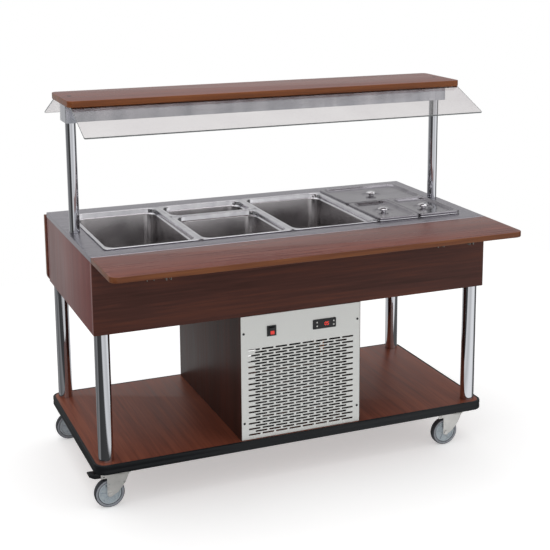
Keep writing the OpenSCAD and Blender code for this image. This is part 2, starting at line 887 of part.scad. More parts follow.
// Shroud plate with a ring, and the motor held on four arms behind the blades
module fan_motor() {
    ring_r = fan_d / 2 + ring_gap;
    part("#5A5E63") {
        translate([0, cond_back, 0]) difference() {
            union() {
                box_at(-cond_l / 2, cond_l / 2, 0, ring_t, deck_z + cond_low, deck_z + cond_h);
                translate([0, ring_l / 2, cond_z]) bar_y(2 * (ring_r + ring_t), ring_l);
            }
            translate([0, ring_l / 2, cond_z]) bar_y(2 * ring_r, ring_l + 2);
        }
        translate([0, motor_y, cond_z]) difference() {
            union() {
                translate([0, motor_l / 2, 0]) bar_y(motor_d, motor_l);
                for (a = [45 : 90 : 315]) rotate([0, a, 0]) {
                    box_at(motor_d / 2 - 5, ring_r + 2 * ring_t, 1, motor_arm / 2,
                           -motor_arm / 2, motor_arm / 2);
                    box_at(ring_r + ring_t / 2, ring_r + 2 * ring_t, -2 * motor_arm,
                           motor_arm / 2, -motor_arm / 2, motor_arm / 2);
                }
            }
            bar_y(shaft_d + 2 * pin_fit, 2 * motor_l - 2 * motor_arm);
        }
    }
}

module fan() {
    blade_l = fan_d / 2 - fan_hub / 2 + 1;
    part("#2B2E31") translate([0, fan_y, cond_z]) {
        bar_y(fan_hub, hub_l);
        translate([0, shaft_l / 2 - hub_l / 2 + 6, 0]) bar_y(shaft_d, shaft_l);
        for (a = [0 : 360 / blades : 359]) rotate([0, a, 0])
            translate([blade_root + blade_l / 2, 0, 0]) rotate([blade_tilt, 0, 0])
                cube([blade_l, blade_t, blade_w], center = true);
    }
}

module pipe_holes(z, h) {
    for (y = [coil_y0, coil_end])
        translate([drop_x, y, z]) cylinder(d = pipe_d + 2, h = h);
}

// A pipe through a list of points, with a ball at each bend
module pipe_run(pts) {
    for (i = [0 : len(pts) - 2]) {
        v = pts[i + 1] - pts[i];
        l = norm(v);
        translate(pts[i]) rotate([0, acos(v[2] / l), atan2(v[1], v[0])])
            cylinder(d = pipe_d, h = l);
        if (i > 0) translate(pts[i]) sphere(d = pipe_d);
    }
}

// Liquid line from the condenser, the evaporator's runs to and fro, the suction line down
// to the compressor, and the hot line from the compressor back to the condenser
module refrigerant_pipes() {
    pot_top = deck_z + foot_h + pot_h + run;
    middle = cond_y + cond_w / 2;
    hot_x = cond_l / 2 - 20;
    runs = [for (i = [0 : coil_runs - 1], e = [0, 1])
            [(i == 0 || i == coil_runs - 1) && e == (i == 0 ? 0 : 1) ? drop_x
             : (i + e) % 2 == 0 ? -coil_x : coil_x, coil_y0 + i * coil_pitch, coil_z]];
    part("#B87333") {
        pipe_run(concat([[drop_x, middle, deck_z + cond_h], [drop_x, middle, line_z],
                         [drop_x, coil_y0, line_z]], runs, [[drop_x, coil_end, pot_top]]));
        pipe_run([[hot_x, middle, deck_z + cond_h], [hot_x, middle, line_z + 2 * pipe_d],
                  [hot_x, pot_y, line_z + 2 * pipe_d], [hot_x, pot_y, pot_top]]);
    }
}

// ---- Tray shelves ----

// A raised shelf in side view frame: outward from the skirt is +u, up is +z.
// Modules below draw the customer side; the staff side is the same, folded down.

module shelf_board() {
    translate([0, -box_w / 2 - shelf_gap - shelf_w / 2, shelf_z]) linear_extrude(shelf_t) {
        translate([0, shelf_r / 2]) square([shelf_l, shelf_w - shelf_r], center = true);
        square([shelf_l - 2 * shelf_r, shelf_w], center = true);
        for (s = [-1, 1]) translate([s * (shelf_l / 2 - shelf_r), -shelf_w / 2 + shelf_r])
            circle(shelf_r);
    }
}

// Puts a side profile drawn as [outward, up] about the fold pin onto the customer side,
// spread over the width w and centred on x = 0
module side_profile(w) {
    translate([0, -box_w / 2 - fold_out, fold_z]) rotate([90, 0, -90])
        linear_extrude(w, center = true) children();
}

// Turns what is drawn raised on the customer side into the folded staff side
module folded_rear() {
    translate([0, box_w / 2 + fold_out, fold_z]) rotate([-90, 0, 0]) mirror([0, 1, 0])
        translate([0, box_w / 2 + fold_out, -fold_z]) children();
}

module front_shelf() {
    part(edge_laminate) shelf_board();
}

module rear_shelf() {
    part(edge_laminate) folded_rear() shelf_board();
}

// Channel arm under the shelf: web on top, two flanges down to the fold pin
module arm_pair() {
    flange_z = fold_drop - arm_h;
    for (s = [-1, 1]) translate([s * bracket_x, 0, 0]) {
        side_profile(arm_w) translate([2, fold_drop - arm_t]) square([arm_l - 2, arm_t]);
        for (k = [-1, 1]) translate([k * (arm_w - arm_t) / 2, 0, 0]) side_profile(arm_t)
            difference() {
                union() {
                    translate([2, flange_z]) square([arm_l - 2, arm_h - arm_t + eps]);
                    circle(ear_r);
                    square([ear_r, fold_drop - arm_t]);
                }
                circle(d = pin_d + 2 * pin_fit);
                translate([slot_in, strut_lift - pin_d / 2 - run])
                    square([slot_out - slot_in, pin_d + 2 * run]);
                for (x = [slot_in, slot_out])
                    translate([x, strut_lift]) circle(pin_d / 2 + run);
            }
    }
}

module front_arms() {
    part(zinc) arm_pair();
}

module rear_arms() {
    part(zinc) folded_rear() arm_pair();
}

// Struts: flat links on a foot pin, with a short cross pin at the upper end
module strut_pair(angle) {
    for (s = [-1, 1]) translate([s * bracket_x, 0, 0]) {
        side_profile(4) translate([-foot_in, -foot_drop]) rotate(angle) difference() {
            union() {
                translate([0, -strut_w / 2]) square([strut_l, strut_w]);
                for (x = [0, strut_l]) translate([x, 0]) circle(d = strut_w);
            }
            circle(d = pin_d - 1 + 2 * pin_fit);
        }
        side_profile(arm_w - 2 * arm_t - 1) translate([-foot_in, -foot_drop]) rotate(angle)
            translate([strut_l, 0]) circle(d = pin_d);
    }
}

module front_struts() {
    part(zinc) strut_pair(strut_up);
}

module rear_struts() {
    part(zinc) mirror([0, 1, 0]) strut_pair(strut_down);
}

// Small channels on the box, with the fold pins and the struts' foot pins through their ears
module wall_plate_pair() {
    back = -fold_out - top_t - run;
    low = -foot_drop - ear_r;
    for (s = [-1, 1]) translate([s * bracket_x, 0, 0]) {
        side_profile(plate_wide) translate([back, low]) square([arm_t, ear_r - low]);
        for (k = [-1, 1]) translate([k * (plate_wide - arm_t) / 2, 0, 0]) side_profile(arm_t)
            polygon([[back, ear_r], [0, ear_r], [ear_r, 0], [ear_r, -ear_r],
                     [ear_r - foot_in, low], [back, low]]);
        side_profile(plate_wide + 6) circle(d = pin_d);
        side_profile(plate_wide) translate([-foot_in, -foot_drop]) circle(d = pin_d - 1);
        for (k = [-1, 1]) translate([k * (plate_wide / 2 + 1.5 + fit), 0, 0])
            side_profile(3) circle(d = pin_d + 4);
    }
}

module wall_plates() {
    part(zinc) both_sides() wall_plate_pair();
}

// ---- Canopy ----

module posts() {
    part(chrome_tube) both_ends() translate([post_x, 0, top_z]) difference() {
        cylinder(d = post_d, h = canopy_h - hood_t);
        translate([0, 0, plug_h])
            cylinder(d = post_d - 2 * post_wall, h = canopy_h - hood_t - 2 * plug_h);
        translate([0, 0, -eps]) cylinder(d = bolt_d + 2 * pin_fit, h = canopy_h);
    }
}

module canopy_shelf() {
    part(laminate) difference() {
        translate([0, 0, canopy_z]) rounded_slab(canopy_l, canopy_w, canopy_t, canopy_r);
        both_ends() translate([post_x, 0, canopy_z - eps]) {
            cylinder(d = bolt_d + 2 * pin_fit, h = canopy_t + 1);
            translate([0, 0, canopy_t - cap_sink]) cylinder(d = head_d + 1, h = cap_sink + 1);
        }
    }
}

// Folded steel channel, open below, closed at its ends, with the lamp's batten inside
module light_housing() {
    roof = canopy_z - hood_t;
    low = lamp_z - lamp_d / 2 - 2;
    part(stainless) {
        difference() {
            box_at(-hood_l / 2, hood_l / 2, -hood_w / 2, hood_w / 2, hood_z, canopy_z);
            box_at(-hood_l / 2 + hood_t, hood_l / 2 - hood_t, -hood_w / 2 + hood_t,
                   hood_w / 2 - hood_t, hood_z - 1, roof);
            both_ends() translate([post_x, 0, roof - eps])
                cylinder(d = bolt_d + 2 * pin_fit, h = hood_t + 1);
        }
        translate([0, 0, roof - batten_h])
            cube_on([lamp_l + 2 * holder_w + 16, batten_w, batten_h]);
        both_ends() translate([lamp_l / 2 + holder_w / 2 + 2, 0, low])
            cube_on([holder_w, holder_d, roof - batten_h - low + eps]);
    }
}

module lamp_tube() {
    part("#F4F4EC") translate([0, 0, lamp_z]) {
        bar_x(lamp_d, lamp_l);
        both_ends() translate([lamp_l / 2 + 0.9, 0, 0]) bar_x(3, 2.2);
    }
}

// Sheets bent once: a flange screwed under the shelf, then a slope out over the well
module guards() {
    bend = canopy_w / 2;
    slope = atan2(guard_drop, guard_out - bend);
    part("#D9DEE04D") both_sides() rotate([90, 0, 90]) linear_extrude(guard_l, center = true)
        polygon([[bend - flange_w, canopy_z], [bend - flange_w, canopy_z - guard_t],
                 [bend - guard_t * tan(slope / 2), canopy_z - guard_t],
                 [guard_out - guard_t * sin(slope), canopy_z - guard_drop - guard_t * cos(slope)],
                 [guard_out, canopy_z - guard_drop], [bend, canopy_z]]);
}

// ---- Pans and lids ----

// A gastronorm pan over the plan rectangle from x0, y0, sx by sy, hung by its rim
module pan(x0, y0, sx, sy, depth) {
    part(stainless) translate([x0 + sx / 2, y0 + sy / 2, top_z]) difference() {
        union() {
            translate([0, 0, fit]) rounded_slab(sx - pan_gap, sy - pan_gap, rim_h - fit, rim_r);
            translate([0, 0, rim_h - depth])
                rounded_slab(sx - 2 * rim_w, sy - 2 * rim_w, depth - 1, pan_r);
        }
        translate([0, 0, rim_h - depth + pan_wall])
            rounded_slab(sx - 2 * rim_w - 2 * pan_wall, sy - 2 * rim_w - 2 * pan_wall,
                         depth, pan_r - pan_wall);
    }
}

// A lid on the same plan rectangle: flat edge, raised middle, knob
module lid(x0, y0, sx, sy) {
    l = sx - 2 * lid_edge;
    w = sy - 2 * lid_edge;
    part(stainless) translate([x0 + sx / 2, y0 + sy / 2, top_z + rim_h + run]) {
        difference() {
            union() {
                rounded_slab(sx - 2, sy - 2, lid_t, rim_r);
                rounded_slab(l, w, lid_rise, lid_r);
            }
            translate([0, 0, -eps])
                rounded_slab(l - 2 * lid_t, w - 2 * lid_t, lid_rise - lid_t, lid_r - lid_t);
        }
        translate([0, 0, lid_rise - eps]) rotate_extrude() {
            square([knob_d / 4, knob_foot]);
            translate([0, knob_foot]) square([knob_d / 2 - 3, knob_h - knob_foot]);
            translate([knob_d / 2 - 5, (knob_h + knob_foot) / 2])
                circle((knob_h - knob_foot) / 2, $fn = 24);
        }
    }
}

module pan_1() { pan(-2 * pan_pitch, near, pan_pitch, pan_full, deep_pan); }
module pan_2_front() { pan(-pan_pitch, near, pan_pitch, pan_full - third, deep_pan); }
module pan_2_rear() { pan(-pan_pitch, split_2, pan_pitch, third, deep_pan); }
module pan_3() { pan(0, near, pan_pitch, pan_full, deep_pan); }
module pan_4_left() { pan(pan_pitch, near, pan_pitch / 2, half, lid_pan); }
module pan_4_right() { pan(1.5 * pan_pitch, near, pan_pitch / 2, half, lid_pan); }
module pan_4_rear() { pan(pan_pitch, near + half, pan_pitch, half, lid_pan); }
module lid_left() { lid(pan_pitch, near, pan_pitch / 2, half); }
module lid_right() { lid(1.5 * pan_pitch, near, pan_pitch / 2, half); }
module lid_rear() { lid(pan_pitch, near + half, pan_pitch, half); }

// ---- Casters ----

// Puts a caster drawn about its swivel axis, trailing along +X, at one corner
module at_corner(sx, sy) {
    translate([sx * caster_x, sy * caster_y, 0]) mirror([1, 0, 0]) children();
}

module plate_bolt_places() {
    for (x = [-1, 1], y = [-1, 1])
        translate([x * plate_bolt_x, y * plate_bolt_y, caster_h - plate_t]) children();
}

// Mounting plates with their fixed races, king pins and plate bolts
module caster_plates() {
    part(zinc) for (sx = [-1, 1], sy = [-1, 1]) at_corner(sx, sy) {
        difference() {
            translate([0, 0, caster_h - plate_t]) rounded_slab(plate_l, plate_w, plate_t, 8);
            plate_bolt_places() translate([0, 0, -1])
                cylinder(d = plate_bolt + 2 * pin_fit, h = plate_t + 2);
        }
        translate([0, 0, race_z + race_h / 2 + run])
            cylinder(d = race_d, h = race_h / 2 - run + eps);
        translate([0, 0, crown_z - 5])
            cylinder(d = king_d, h = caster_h - plate_t - crown_z + 5);
        translate([0, 0, crown_z - 5]) cylinder(d = king_d + 6, h = 5 - run);
        plate_bolt_places() translate([0, 0, -5 - fit]) {
            cylinder(d = plate_head, h = 5);
            cylinder(d = plate_bolt, h = 5 + plate_t);
        }
    }
}

// Fork: crown with the lower race, two legs, and the axle with its head and nut
module fork() {
    width = fork_gap + 2 * fork_t;
    difference() {
        union() {
            translate([0, 0, crown_z]) linear_extrude(fork_t) {
                circle(crown_r);
                translate([tail_x / 2, 0]) square([tail_x, width], center = true);
            }
            translate([0, 0, race_z - eps]) cylinder(d = race_d, h = race_h / 2 + eps);
        }
        translate([0, 0, crown_z - 1]) cylinder(d = king_d + 2 * pin_fit, h = race_h + 5);
    }
    both_sides() translate([0, width / 2, 0]) rotate([90, 0, 0]) linear_extrude(fork_t)
        difference() {
            union() {
                polygon([[-24, crown_z + eps], [tail_x, crown_z + eps], [tail_x, pedal_z - 6],
                         [trail + boss_r, pedal_z - 6], [trail + boss_r, axle_z],
                         [trail - 6, axle_z - 8], [trail - 26, axle_z + 3],
                         [trail - 51, axle_z + 33]]);
                translate([trail, axle_z]) circle(boss_r);
            }
            translate([trail, axle_z]) circle(d = axle_d + 2 * pin_fit);
            translate([pedal_x, pedal_z]) circle(d = pedal_pin + 2 * pin_fit);
        }
    translate([trail, 0, axle_z]) {
        bar_y(axle_d, width + 2 * axle_out);
        both_sides() translate([0, (width + nut_h) / 2 + fit, 0]) bar_y(nut_d, nut_h);
    }
}

module fork_fl() { part(zinc) at_corner(-1, -1) fork(); }
module fork_fr() { part(zinc) at_corner(1, -1) fork(); }
module fork_rl() { part(zinc) at_corner(-1, 1) fork(); }
module fork_rr() { part(zinc) at_corner(1, 1) fork(); }

// Wheel: moulded hub with a rim and a web, and a tyre pressed round it
module wheel() {
    side = wheel_w / 2;
    rim = side - tyre_lip;
    hub_out = hub_d / 2 - pin_fit;
    tread = wheel_d / 2;
    translate([trail, 0, axle_z]) rotate([90, 0, 0]) {
        rotate_extrude() difference() {
            union() {
                translate([0, -6]) square([hub_out, 12]);
                translate([0, -rim]) square([14, 2 * rim]);
                translate([hub_out - 6, -rim]) square([6, 2 * rim]);
            }
            translate([-1, -side]) square([axle_d / 2 + pin_fit + 1, wheel_w]);
        }
        rotate_extrude() {
            translate([hub_d / 2, -rim]) square([4, 2 * rim]);
            translate([hub_d / 2 + 3, -side]) square([tread - hub_d / 2 - 7, wheel_w]);
            translate([hub_d / 2 + 3, -side + 4]) square([tread - hub_d / 2 - 3, wheel_w - 8]);
            for (s = [-1, 1]) translate([tread - 4, s * (side - 4)]) circle(4, $fn = 24);
        }
    }
}

module wheel_fl() { part("#5C5A62") at_corner(-1, -1) wheel(); }
module wheel_fr() { part("#5C5A62") at_corner(1, -1) wheel(); }
module wheel_rl() { part("#5C5A62") at_corner(-1, 1) wheel(); }
module wheel_rr() { part("#5C5A62") at_corner(1, 1) wheel(); }

// Brake pedal: hub on its own pin through the fork, a shoe over the tyre, a tread outside
module brake_pedal() {
    reach = norm([pedal_x - trail, pedal_z - axle_z]);
    shoe = reach - wheel_d / 2 - shoe_r - 2 * run;
    aim = atan2(axle_z - pedal_z, trail - pedal_x) + pedal_travel;
    top = crown_z - 2 * run;
    lip = caster_h - 5.5;
    translate([pedal_x, 0, pedal_z]) bar_y(pedal_pin, fork_gap + 2 * fork_t);
    translate([0, pedal_w / 2, 0]) rotate([90, 0, 0]) linear_extrude(pedal_w) {
        translate([pedal_x, pedal_z]) circle(hub_r);
        translate([pedal_x, pedal_z]) rotate(aim) {
            translate([0, -shoe_t / 2]) square([shoe, shoe_t]);
            translate([shoe, 0]) circle(shoe_r);
        }
        polygon([[pedal_x, pedal_z - hub_r], [pedal_x, top], [tail_x + 1, top],
                 [tail_x + 6, lip - 1.5], [pedal_reach - 2, lip], [pedal_reach, lip - 3.5],
                 [pedal_reach - 4, lip - 10.5], [pedal_reach - 20, pedal_z - 3]]);
    }
}

module brake_pedal_fl() { part(black_plastic) at_corner(-1, -1) brake_pedal(); }
module brake_pedal_rr() { part(black_plastic) at_corner(1, 1) brake_pedal(); }

base_board();
base_bumper();
legs();
fasteners();
bottom_panel();
box_panels();
steel_top();
well_liner();
insulation();
pan_bars();
drain_plug();
cabinet_sides();
service_panel();
rear_grille();
compressor();
condenser();
fan_motor();
fan();
refrigerant_pipes();
wiring_box();
switch_frame();
rocker();
thermostat();
button_1();
button_2();
button_3();
button_4();
posts();
canopy_shelf();
light_housing();
lamp_tube();
guards();
front_shelf();
rear_shelf();
wall_plates();
front_arms();
rear_arms();
front_struts();
rear_struts();
pan_1();
pan_2_front();
pan_2_rear();
pan_3();
pan_4_left();
pan_4_right();
pan_4_rear();
lid_left();
lid_right();
lid_rear();
caster_plates();
fork_fl();
fork_fr();
fork_rl();
fork_rr();
wheel_fl();
wheel_fr();
wheel_rl();
wheel_rr();
brake_pedal_fl();
brake_pedal_rr();
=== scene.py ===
# Mobile refrigerated salad bar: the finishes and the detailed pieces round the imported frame.
# Metres, in the frame's own axes: X along the well, -Y the customer side, +Z up.
import json
import math

import bmesh
import bpy
from mathutils import Matrix, Vector

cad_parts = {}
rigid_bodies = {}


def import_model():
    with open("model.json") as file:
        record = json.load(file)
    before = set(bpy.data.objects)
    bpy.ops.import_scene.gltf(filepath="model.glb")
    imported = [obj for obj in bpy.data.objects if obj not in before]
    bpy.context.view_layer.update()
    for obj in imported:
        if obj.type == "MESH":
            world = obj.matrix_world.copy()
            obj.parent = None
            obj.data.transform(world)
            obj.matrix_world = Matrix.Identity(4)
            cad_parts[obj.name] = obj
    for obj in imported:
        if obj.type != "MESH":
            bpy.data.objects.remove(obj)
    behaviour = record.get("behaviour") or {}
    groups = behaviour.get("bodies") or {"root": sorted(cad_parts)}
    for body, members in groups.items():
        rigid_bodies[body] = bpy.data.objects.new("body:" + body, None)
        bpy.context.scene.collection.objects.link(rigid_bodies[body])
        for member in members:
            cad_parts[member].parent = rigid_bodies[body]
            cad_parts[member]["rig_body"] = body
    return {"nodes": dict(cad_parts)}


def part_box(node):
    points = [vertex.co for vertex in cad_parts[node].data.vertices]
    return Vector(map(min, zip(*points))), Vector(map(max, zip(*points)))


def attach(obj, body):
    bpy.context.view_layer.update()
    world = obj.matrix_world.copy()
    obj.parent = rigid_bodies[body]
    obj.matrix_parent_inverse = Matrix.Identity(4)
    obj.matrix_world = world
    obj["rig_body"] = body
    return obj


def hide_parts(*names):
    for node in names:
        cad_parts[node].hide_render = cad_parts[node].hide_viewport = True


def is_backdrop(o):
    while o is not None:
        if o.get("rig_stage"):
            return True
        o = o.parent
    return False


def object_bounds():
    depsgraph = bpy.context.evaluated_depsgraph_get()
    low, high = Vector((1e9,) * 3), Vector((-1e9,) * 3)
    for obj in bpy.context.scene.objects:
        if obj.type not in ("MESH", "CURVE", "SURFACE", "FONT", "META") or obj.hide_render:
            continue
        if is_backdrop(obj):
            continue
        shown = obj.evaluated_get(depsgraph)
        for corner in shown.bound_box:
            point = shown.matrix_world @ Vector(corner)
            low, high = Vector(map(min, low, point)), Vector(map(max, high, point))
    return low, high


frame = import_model()
cad_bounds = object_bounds()
mm = 0.001
scene = bpy.context.scene
scene.view_settings.view_transform = "Standard"

# ---- Studio ----
# A white floor and backdrop and one wide soft light overhead. What the chrome and the steel
# mirror is a round room of pale and dark sectors, under a bright ceiling.

# The camera: image size, focal length and image centre in pixels, turn and tilt in degrees
IMAGE, FOCAL, CENTRE = 550, 1205.8, (313.2, 180.0)
SENSOR, FAR_CLIP = 36.0, 50.0
CAMERA_AT = (-1.5222, -3.8307, 1.8388)
TURN, TILT = -23.563, 11.495
# Round the room from behind the cart by its left, the camera at 0.5, and its right: the
# place in the round and the grey level
ROOM = ((0.0, 0.58), (0.10, 0.60), (0.15, 0.50), (0.18, 0.22), (0.24, 0.30), (0.26, 0.12),
        (0.33, 0.26), (0.35, 0.05), (0.46, 0.06), (0.485, 0.80), (0.60, 0.62), (0.67, 0.95),
        (0.74, 0.95), (0.77, 0.10), (0.87, 0.10), (0.92, 0.50), (1.0, 0.58))
ROOM_TURN = math.radians(113)
# The ceiling brightens between these two heights of a direction, up to its level
CEILING_FROM, CEILING_FULL, CEILING = 0.55, 0.80, 1.4
DAYLIGHT, FLOOR_GLOW, FLOOR_SIZE = 0.72, 0.42, 5.0
LAMP_SIZE, LAMP_WATTS, LAMP_AT = (3.2, 2.4), 26.0, (-0.5, -0.5, 3.4)


def linear(code):
    """sRGB hex to linear red, green, blue and alpha."""
    channels = [int(code[i:i + 2], 16) / 255 for i in (1, 3, 5)]
    return [c / 12.92 if c <= 0.04045 else ((c + 0.055) / 1.055) ** 2.4
            for c in channels] + [1.0]


def feed(node, sockets):
    """Sets a node's sockets: each takes a value, or a link from another node's first output
    or from a named one, or a list of such links."""
    for name, value in sockets.items():
        sources = value if isinstance(value, list) else [value]
        if isinstance(sources[0], (bpy.types.Node, bpy.types.NodeSocket)):
            for source in sources:
                output = getattr(source, "outputs", [source])[0]
                node.id_data.links.new(output, node.inputs[name])
        else:
            node.inputs[name].default_value = value


def add(tree, kind, sockets={}, **settings):
    """Adds a node with its settings and links."""
    made = tree.nodes.new(kind)
    for name, value in settings.items():
        setattr(made, name, value)
    feed(made, sockets)
    return made


def put(name, data):
    """A new object in the scene, at the origin."""
    made = bpy.data.objects.new(name, data)
    scene.collection.objects.link(made)
    return made


def room_levels(tree, where):
    """The mirrored room's grey level by the way a direction or a floor point lies."""
    bearing = add(tree, "ShaderNodeMapping", {
        "Vector": where, "Rotation": (0.0, 0.0, ROOM_TURN)})
    around = add(tree, "ShaderNodeTexGradient", {"Vector": bearing}, gradient_type="RADIAL")
    walls = add(tree, "ShaderNodeValToRGB", {"Fac": around.outputs["Fac"]})
    stops = walls.color_ramp.elements
    for place, level in ROOM[1:-1]:
        stops.new(place).color = (level, level, level, 1.0)
    for end in (0, -1):
        stops[end].color = (ROOM[end][1],) * 3 + (1.0,)
    return walls


def sight(tree):
    """Is a ray a mirrored one, and does the camera see by it straight or through glass?"""
    path = add(tree, "ShaderNodeLightPath").outputs
    seen = add(tree, "ShaderNodeMath", {
        0: path["Is Camera Ray"], 1: path["Is Transmission Ray"]}, operation="MAXIMUM")
    return path["Is Glossy Ray"], seen


lens = bpy.data.cameras.new("camera")
lens.sensor_width = SENSOR
lens.lens = FOCAL * SENSOR / IMAGE
lens.shift_x = (IMAGE / 2 - CENTRE[0]) / IMAGE
lens.shift_y = (CENTRE[1] - IMAGE / 2) / IMAGE
lens.clip_end = FAR_CLIP
camera = put("camera", lens)
camera.location = CAMERA_AT
camera.rotation_euler = (math.radians(90 - TILT), 0.0, math.radians(TURN))
scene.camera = camera

world = bpy.data.worlds.new("studio")
scene.world = world
world.use_nodes = True
tree = world.node_tree
tree.nodes.clear()
glossy, seen = sight(tree)
heading = add(tree, "ShaderNodeTexCoord").outputs["Generated"]
parts = add(tree, "ShaderNodeSeparateXYZ", {"Vector": heading})
ceiling = add(tree, "ShaderNodeMapRange", {
    "Value": parts.outputs["Z"], "From Min": CEILING_FROM, "From Max": CEILING_FULL,
    "To Max": CEILING})
room = add(tree, "ShaderNodeMath", {
    0: room_levels(tree, heading), 1: ceiling}, operation="MAXIMUM")
mirrored = add(tree, "ShaderNodeMix", {"Factor": glossy, 2: DAYLIGHT, 3: room})
level = add(tree, "ShaderNodeMix", {"Factor": seen, 2: mirrored, 3: 1.0})
sky = add(tree, "ShaderNodeBackground", {"Color": linear("#FFFFFF"), "Strength": level})
add(tree, "ShaderNodeOutputWorld", {"Surface": sky})

overhead = bpy.data.lights.new("overhead", "AREA")
overhead.shape = "RECTANGLE"
overhead.size, overhead.size_y = LAMP_SIZE
overhead.energy = LAMP_WATTS
put("overhead", overhead).location = LAMP_AT

# Matt white paper that keeps the shadow. In a mirror it shows the room's sectors instead
paper = bpy.data.materials.new("white_floor")
paper.use_nodes = True
tree = paper.node_tree
tree.nodes.clear()
glossy, seen = sight(tree)
glow = add(tree, "ShaderNodeMath", {0: seen, 1: FLOOR_GLOW}, operation="MULTIPLY")
light = add(tree, "ShaderNodeEmission", {"Color": linear("#FFFFFF"), "Strength": glow})
matt = add(tree, "ShaderNodeBsdfDiffuse", {"Color": linear("#F2F2F2")})
both = add(tree, "ShaderNodeAddShader", {0: light, 1: matt})
mirrored = add(tree, "ShaderNodeEmission", {
    "Color": room_levels(tree, add(tree, "ShaderNodeTexCoord").outputs["Object"])})
only_mirrored = add(tree, "ShaderNodeMath", {0: glossy, 1: seen}, operation="GREATER_THAN")
pick = add(tree, "ShaderNodeMixShader", {0: only_mirrored, 1: both, 2: mirrored})
add(tree, "ShaderNodeOutputMaterial", {"Surface": pick})

sweep = bpy.data.meshes.new("floor")
side = FLOOR_SIZE / 2
sweep.from_pydata([(-side, -side, 0), (side, -side, 0), (side, side, 0), (-side, side, 0)],
                  [], [(0, 1, 2, 3)])
sweep.materials.append(paper)
put("floor", sweep)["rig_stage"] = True

# ---- Base board ----
# A chipboard slab faced in wood-pattern melamine, its grain running from front to rear,
# with lightly eased edges. The bumper is wrapped round it.

BOARD_EDGE, DECK_RADIUS = 1.5 * mm, 31.8 * mm
# The printed wood: length and width of its streaks and of its broad figure
STREAK, FIGURE = (260 * mm, 9 * mm), (900 * mm, 55 * mm)
FIGURE_SHARE, DARK_TO_PALE, PORE_DEEP = 0.45, (0.34, 0.5, 0.66), 0.15 * mm
DARK_AND_PALE, NOISE_SPAN = (0.32, 0.68), {"From Min": 0.3, "From Max": 0.7}
SHARPEST = 0.2 * mm


def finish(name, slot, colour, cell=None, tones=None, rough=None, relief=0.0, detail=3.0,
           stretch=(1, 1, 1), **sockets):
    """A Principled finish, its sockets written with _ for each space. Noise of a real cell
    size, longer where stretch is over 1, breaks it up: its colour between two tones, its
    roughness between two values, its relief in metres."""
    made = bpy.data.materials.new(name)
    made.use_nodes = True
    tree = made.node_tree
    shader = tree.nodes["Principled BSDF"]
    feed(shader, {socket.replace("_", " "): value for socket, value in sockets.items()})
    feed(shader, {"Base Color": linear(colour)})
    if not cell:
        return made
    spread = add(tree, "ShaderNodeMapping", {
        "Vector": add(tree, "ShaderNodeTexCoord").outputs["Object"],
        "Scale": [1 / (cell * times) for times in stretch]})
    noise = add(tree, "ShaderNodeTexNoise", {
        "Vector": spread, "Scale": 1.0, "Detail": detail}).outputs["Fac"]
    if tones:
        tone = add(tree, "ShaderNodeValToRGB", {"Fac": noise})
        for stop, place, code in zip(tone.color_ramp.elements, DARK_AND_PALE, tones):
            stop.position = place
            stop.color = linear(code)
        feed(shader, {"Base Color": tone})
    if rough:
        feed(shader, {"Roughness": add(tree, "ShaderNodeMapRange", {
            "Value": noise, "To Min": rough[0], "To Max": rough[1], **NOISE_SPAN})})
    if relief:
        feed(shader, {"Normal": add(tree, "ShaderNodeBump", {
            "Height": noise, "Strength": 0.6, "Distance": relief})})
    return made


def laminate(name, slot, tones, grain, roughness=0.30, gloss=0.30):
    """Printed wood pattern under clear melamine: fine streaks over a broad figure that both
    run along the grain's axis, and satin gloss that shows the room at a low angle."""
    made = finish(name, slot, tones[1], IOR=1.5, Specular_IOR_Level=gloss)
    tree = made.node_tree
    shader = tree.nodes["Principled BSDF"]
    where = add(tree, "ShaderNodeTexCoord").outputs["Object"]
    patterns = []
    for along, across in (STREAK, FIGURE):
        sizes = [across] * 3
        sizes[grain] = along
        spread = add(tree, "ShaderNodeMapping", {
            "Vector": where, "Scale": [1 / size for size in sizes]})
        patterns.append(add(tree, "ShaderNodeTexNoise", {
            "Vector": spread, "Scale": 1.0, "Detail": 4.0,
            "Roughness": 0.6, "Distortion": 0.4}).outputs["Fac"])
    blended = add(tree, "ShaderNodeMix", {
        "Factor": FIGURE_SHARE, 2: patterns[0], 3: patterns[1]})
    tone = add(tree, "ShaderNodeValToRGB", {"Fac": blended})
    stops = tone.color_ramp.elements
    stops.new(DARK_TO_PALE[1])
    for stop, place, code in zip(stops, DARK_TO_PALE, tones):
        stop.position = place
        stop.color = linear(code)
    shine = add(tree, "ShaderNodeMapRange", {
        "Value": patterns[0], "To Min": roughness - 0.05, "To Max": roughness + 0.06,
        **NOISE_SPAN})
    pores = add(tree, "ShaderNodeBump", {
        "Height": patterns[0], "Strength": 0.35, "Distance": PORE_DEEP})
    feed(shader, {"Base Color": tone, "Roughness": shine, "Normal": pores})
    return made


def plan_ring(low, high, radius, z, inset=0.0, steps=6):
    """A rounded rectangle at height z, anticlockwise from the low corner. A list of radii
    gives each corner its own, and the inset draws the outline in."""
    radii = radius if isinstance(radius, list) else [radius] * 4
    ring = []
    corners = zip(((0, 0), (1, 0), (1, 1), (0, 1)), radii, (180, 270, 0, 90))
    for (right, back), corner, start in corners:
        r = max(corner - inset, SHARPEST)
        x = high[0] - inset - r if right else low[0] + inset + r
        y = high[1] - inset - r if back else low[1] + inset + r
        for k in range(steps + 1):
            a = math.radians(start + 90 * k / steps)
            ring.append((x + r * math.cos(a), y + r * math.sin(a), z))
    return ring


def board_rings(low, high, radius, edge, bends=3):
    """Rings of a board with rounded plan corners and rounded edges, from below upwards."""
    rings = []
    for up in (0, 1):
        for k in range(bends + 1):
            a = math.pi / 2 * (bends - k if up else k) / bends
            rise = edge * (1 - math.cos(a))
            z = high[2] - rise if up else low[2] + rise
            rings.append(plan_ring(low, high, radius, z, edge * (1 - math.sin(a))))
    return rings


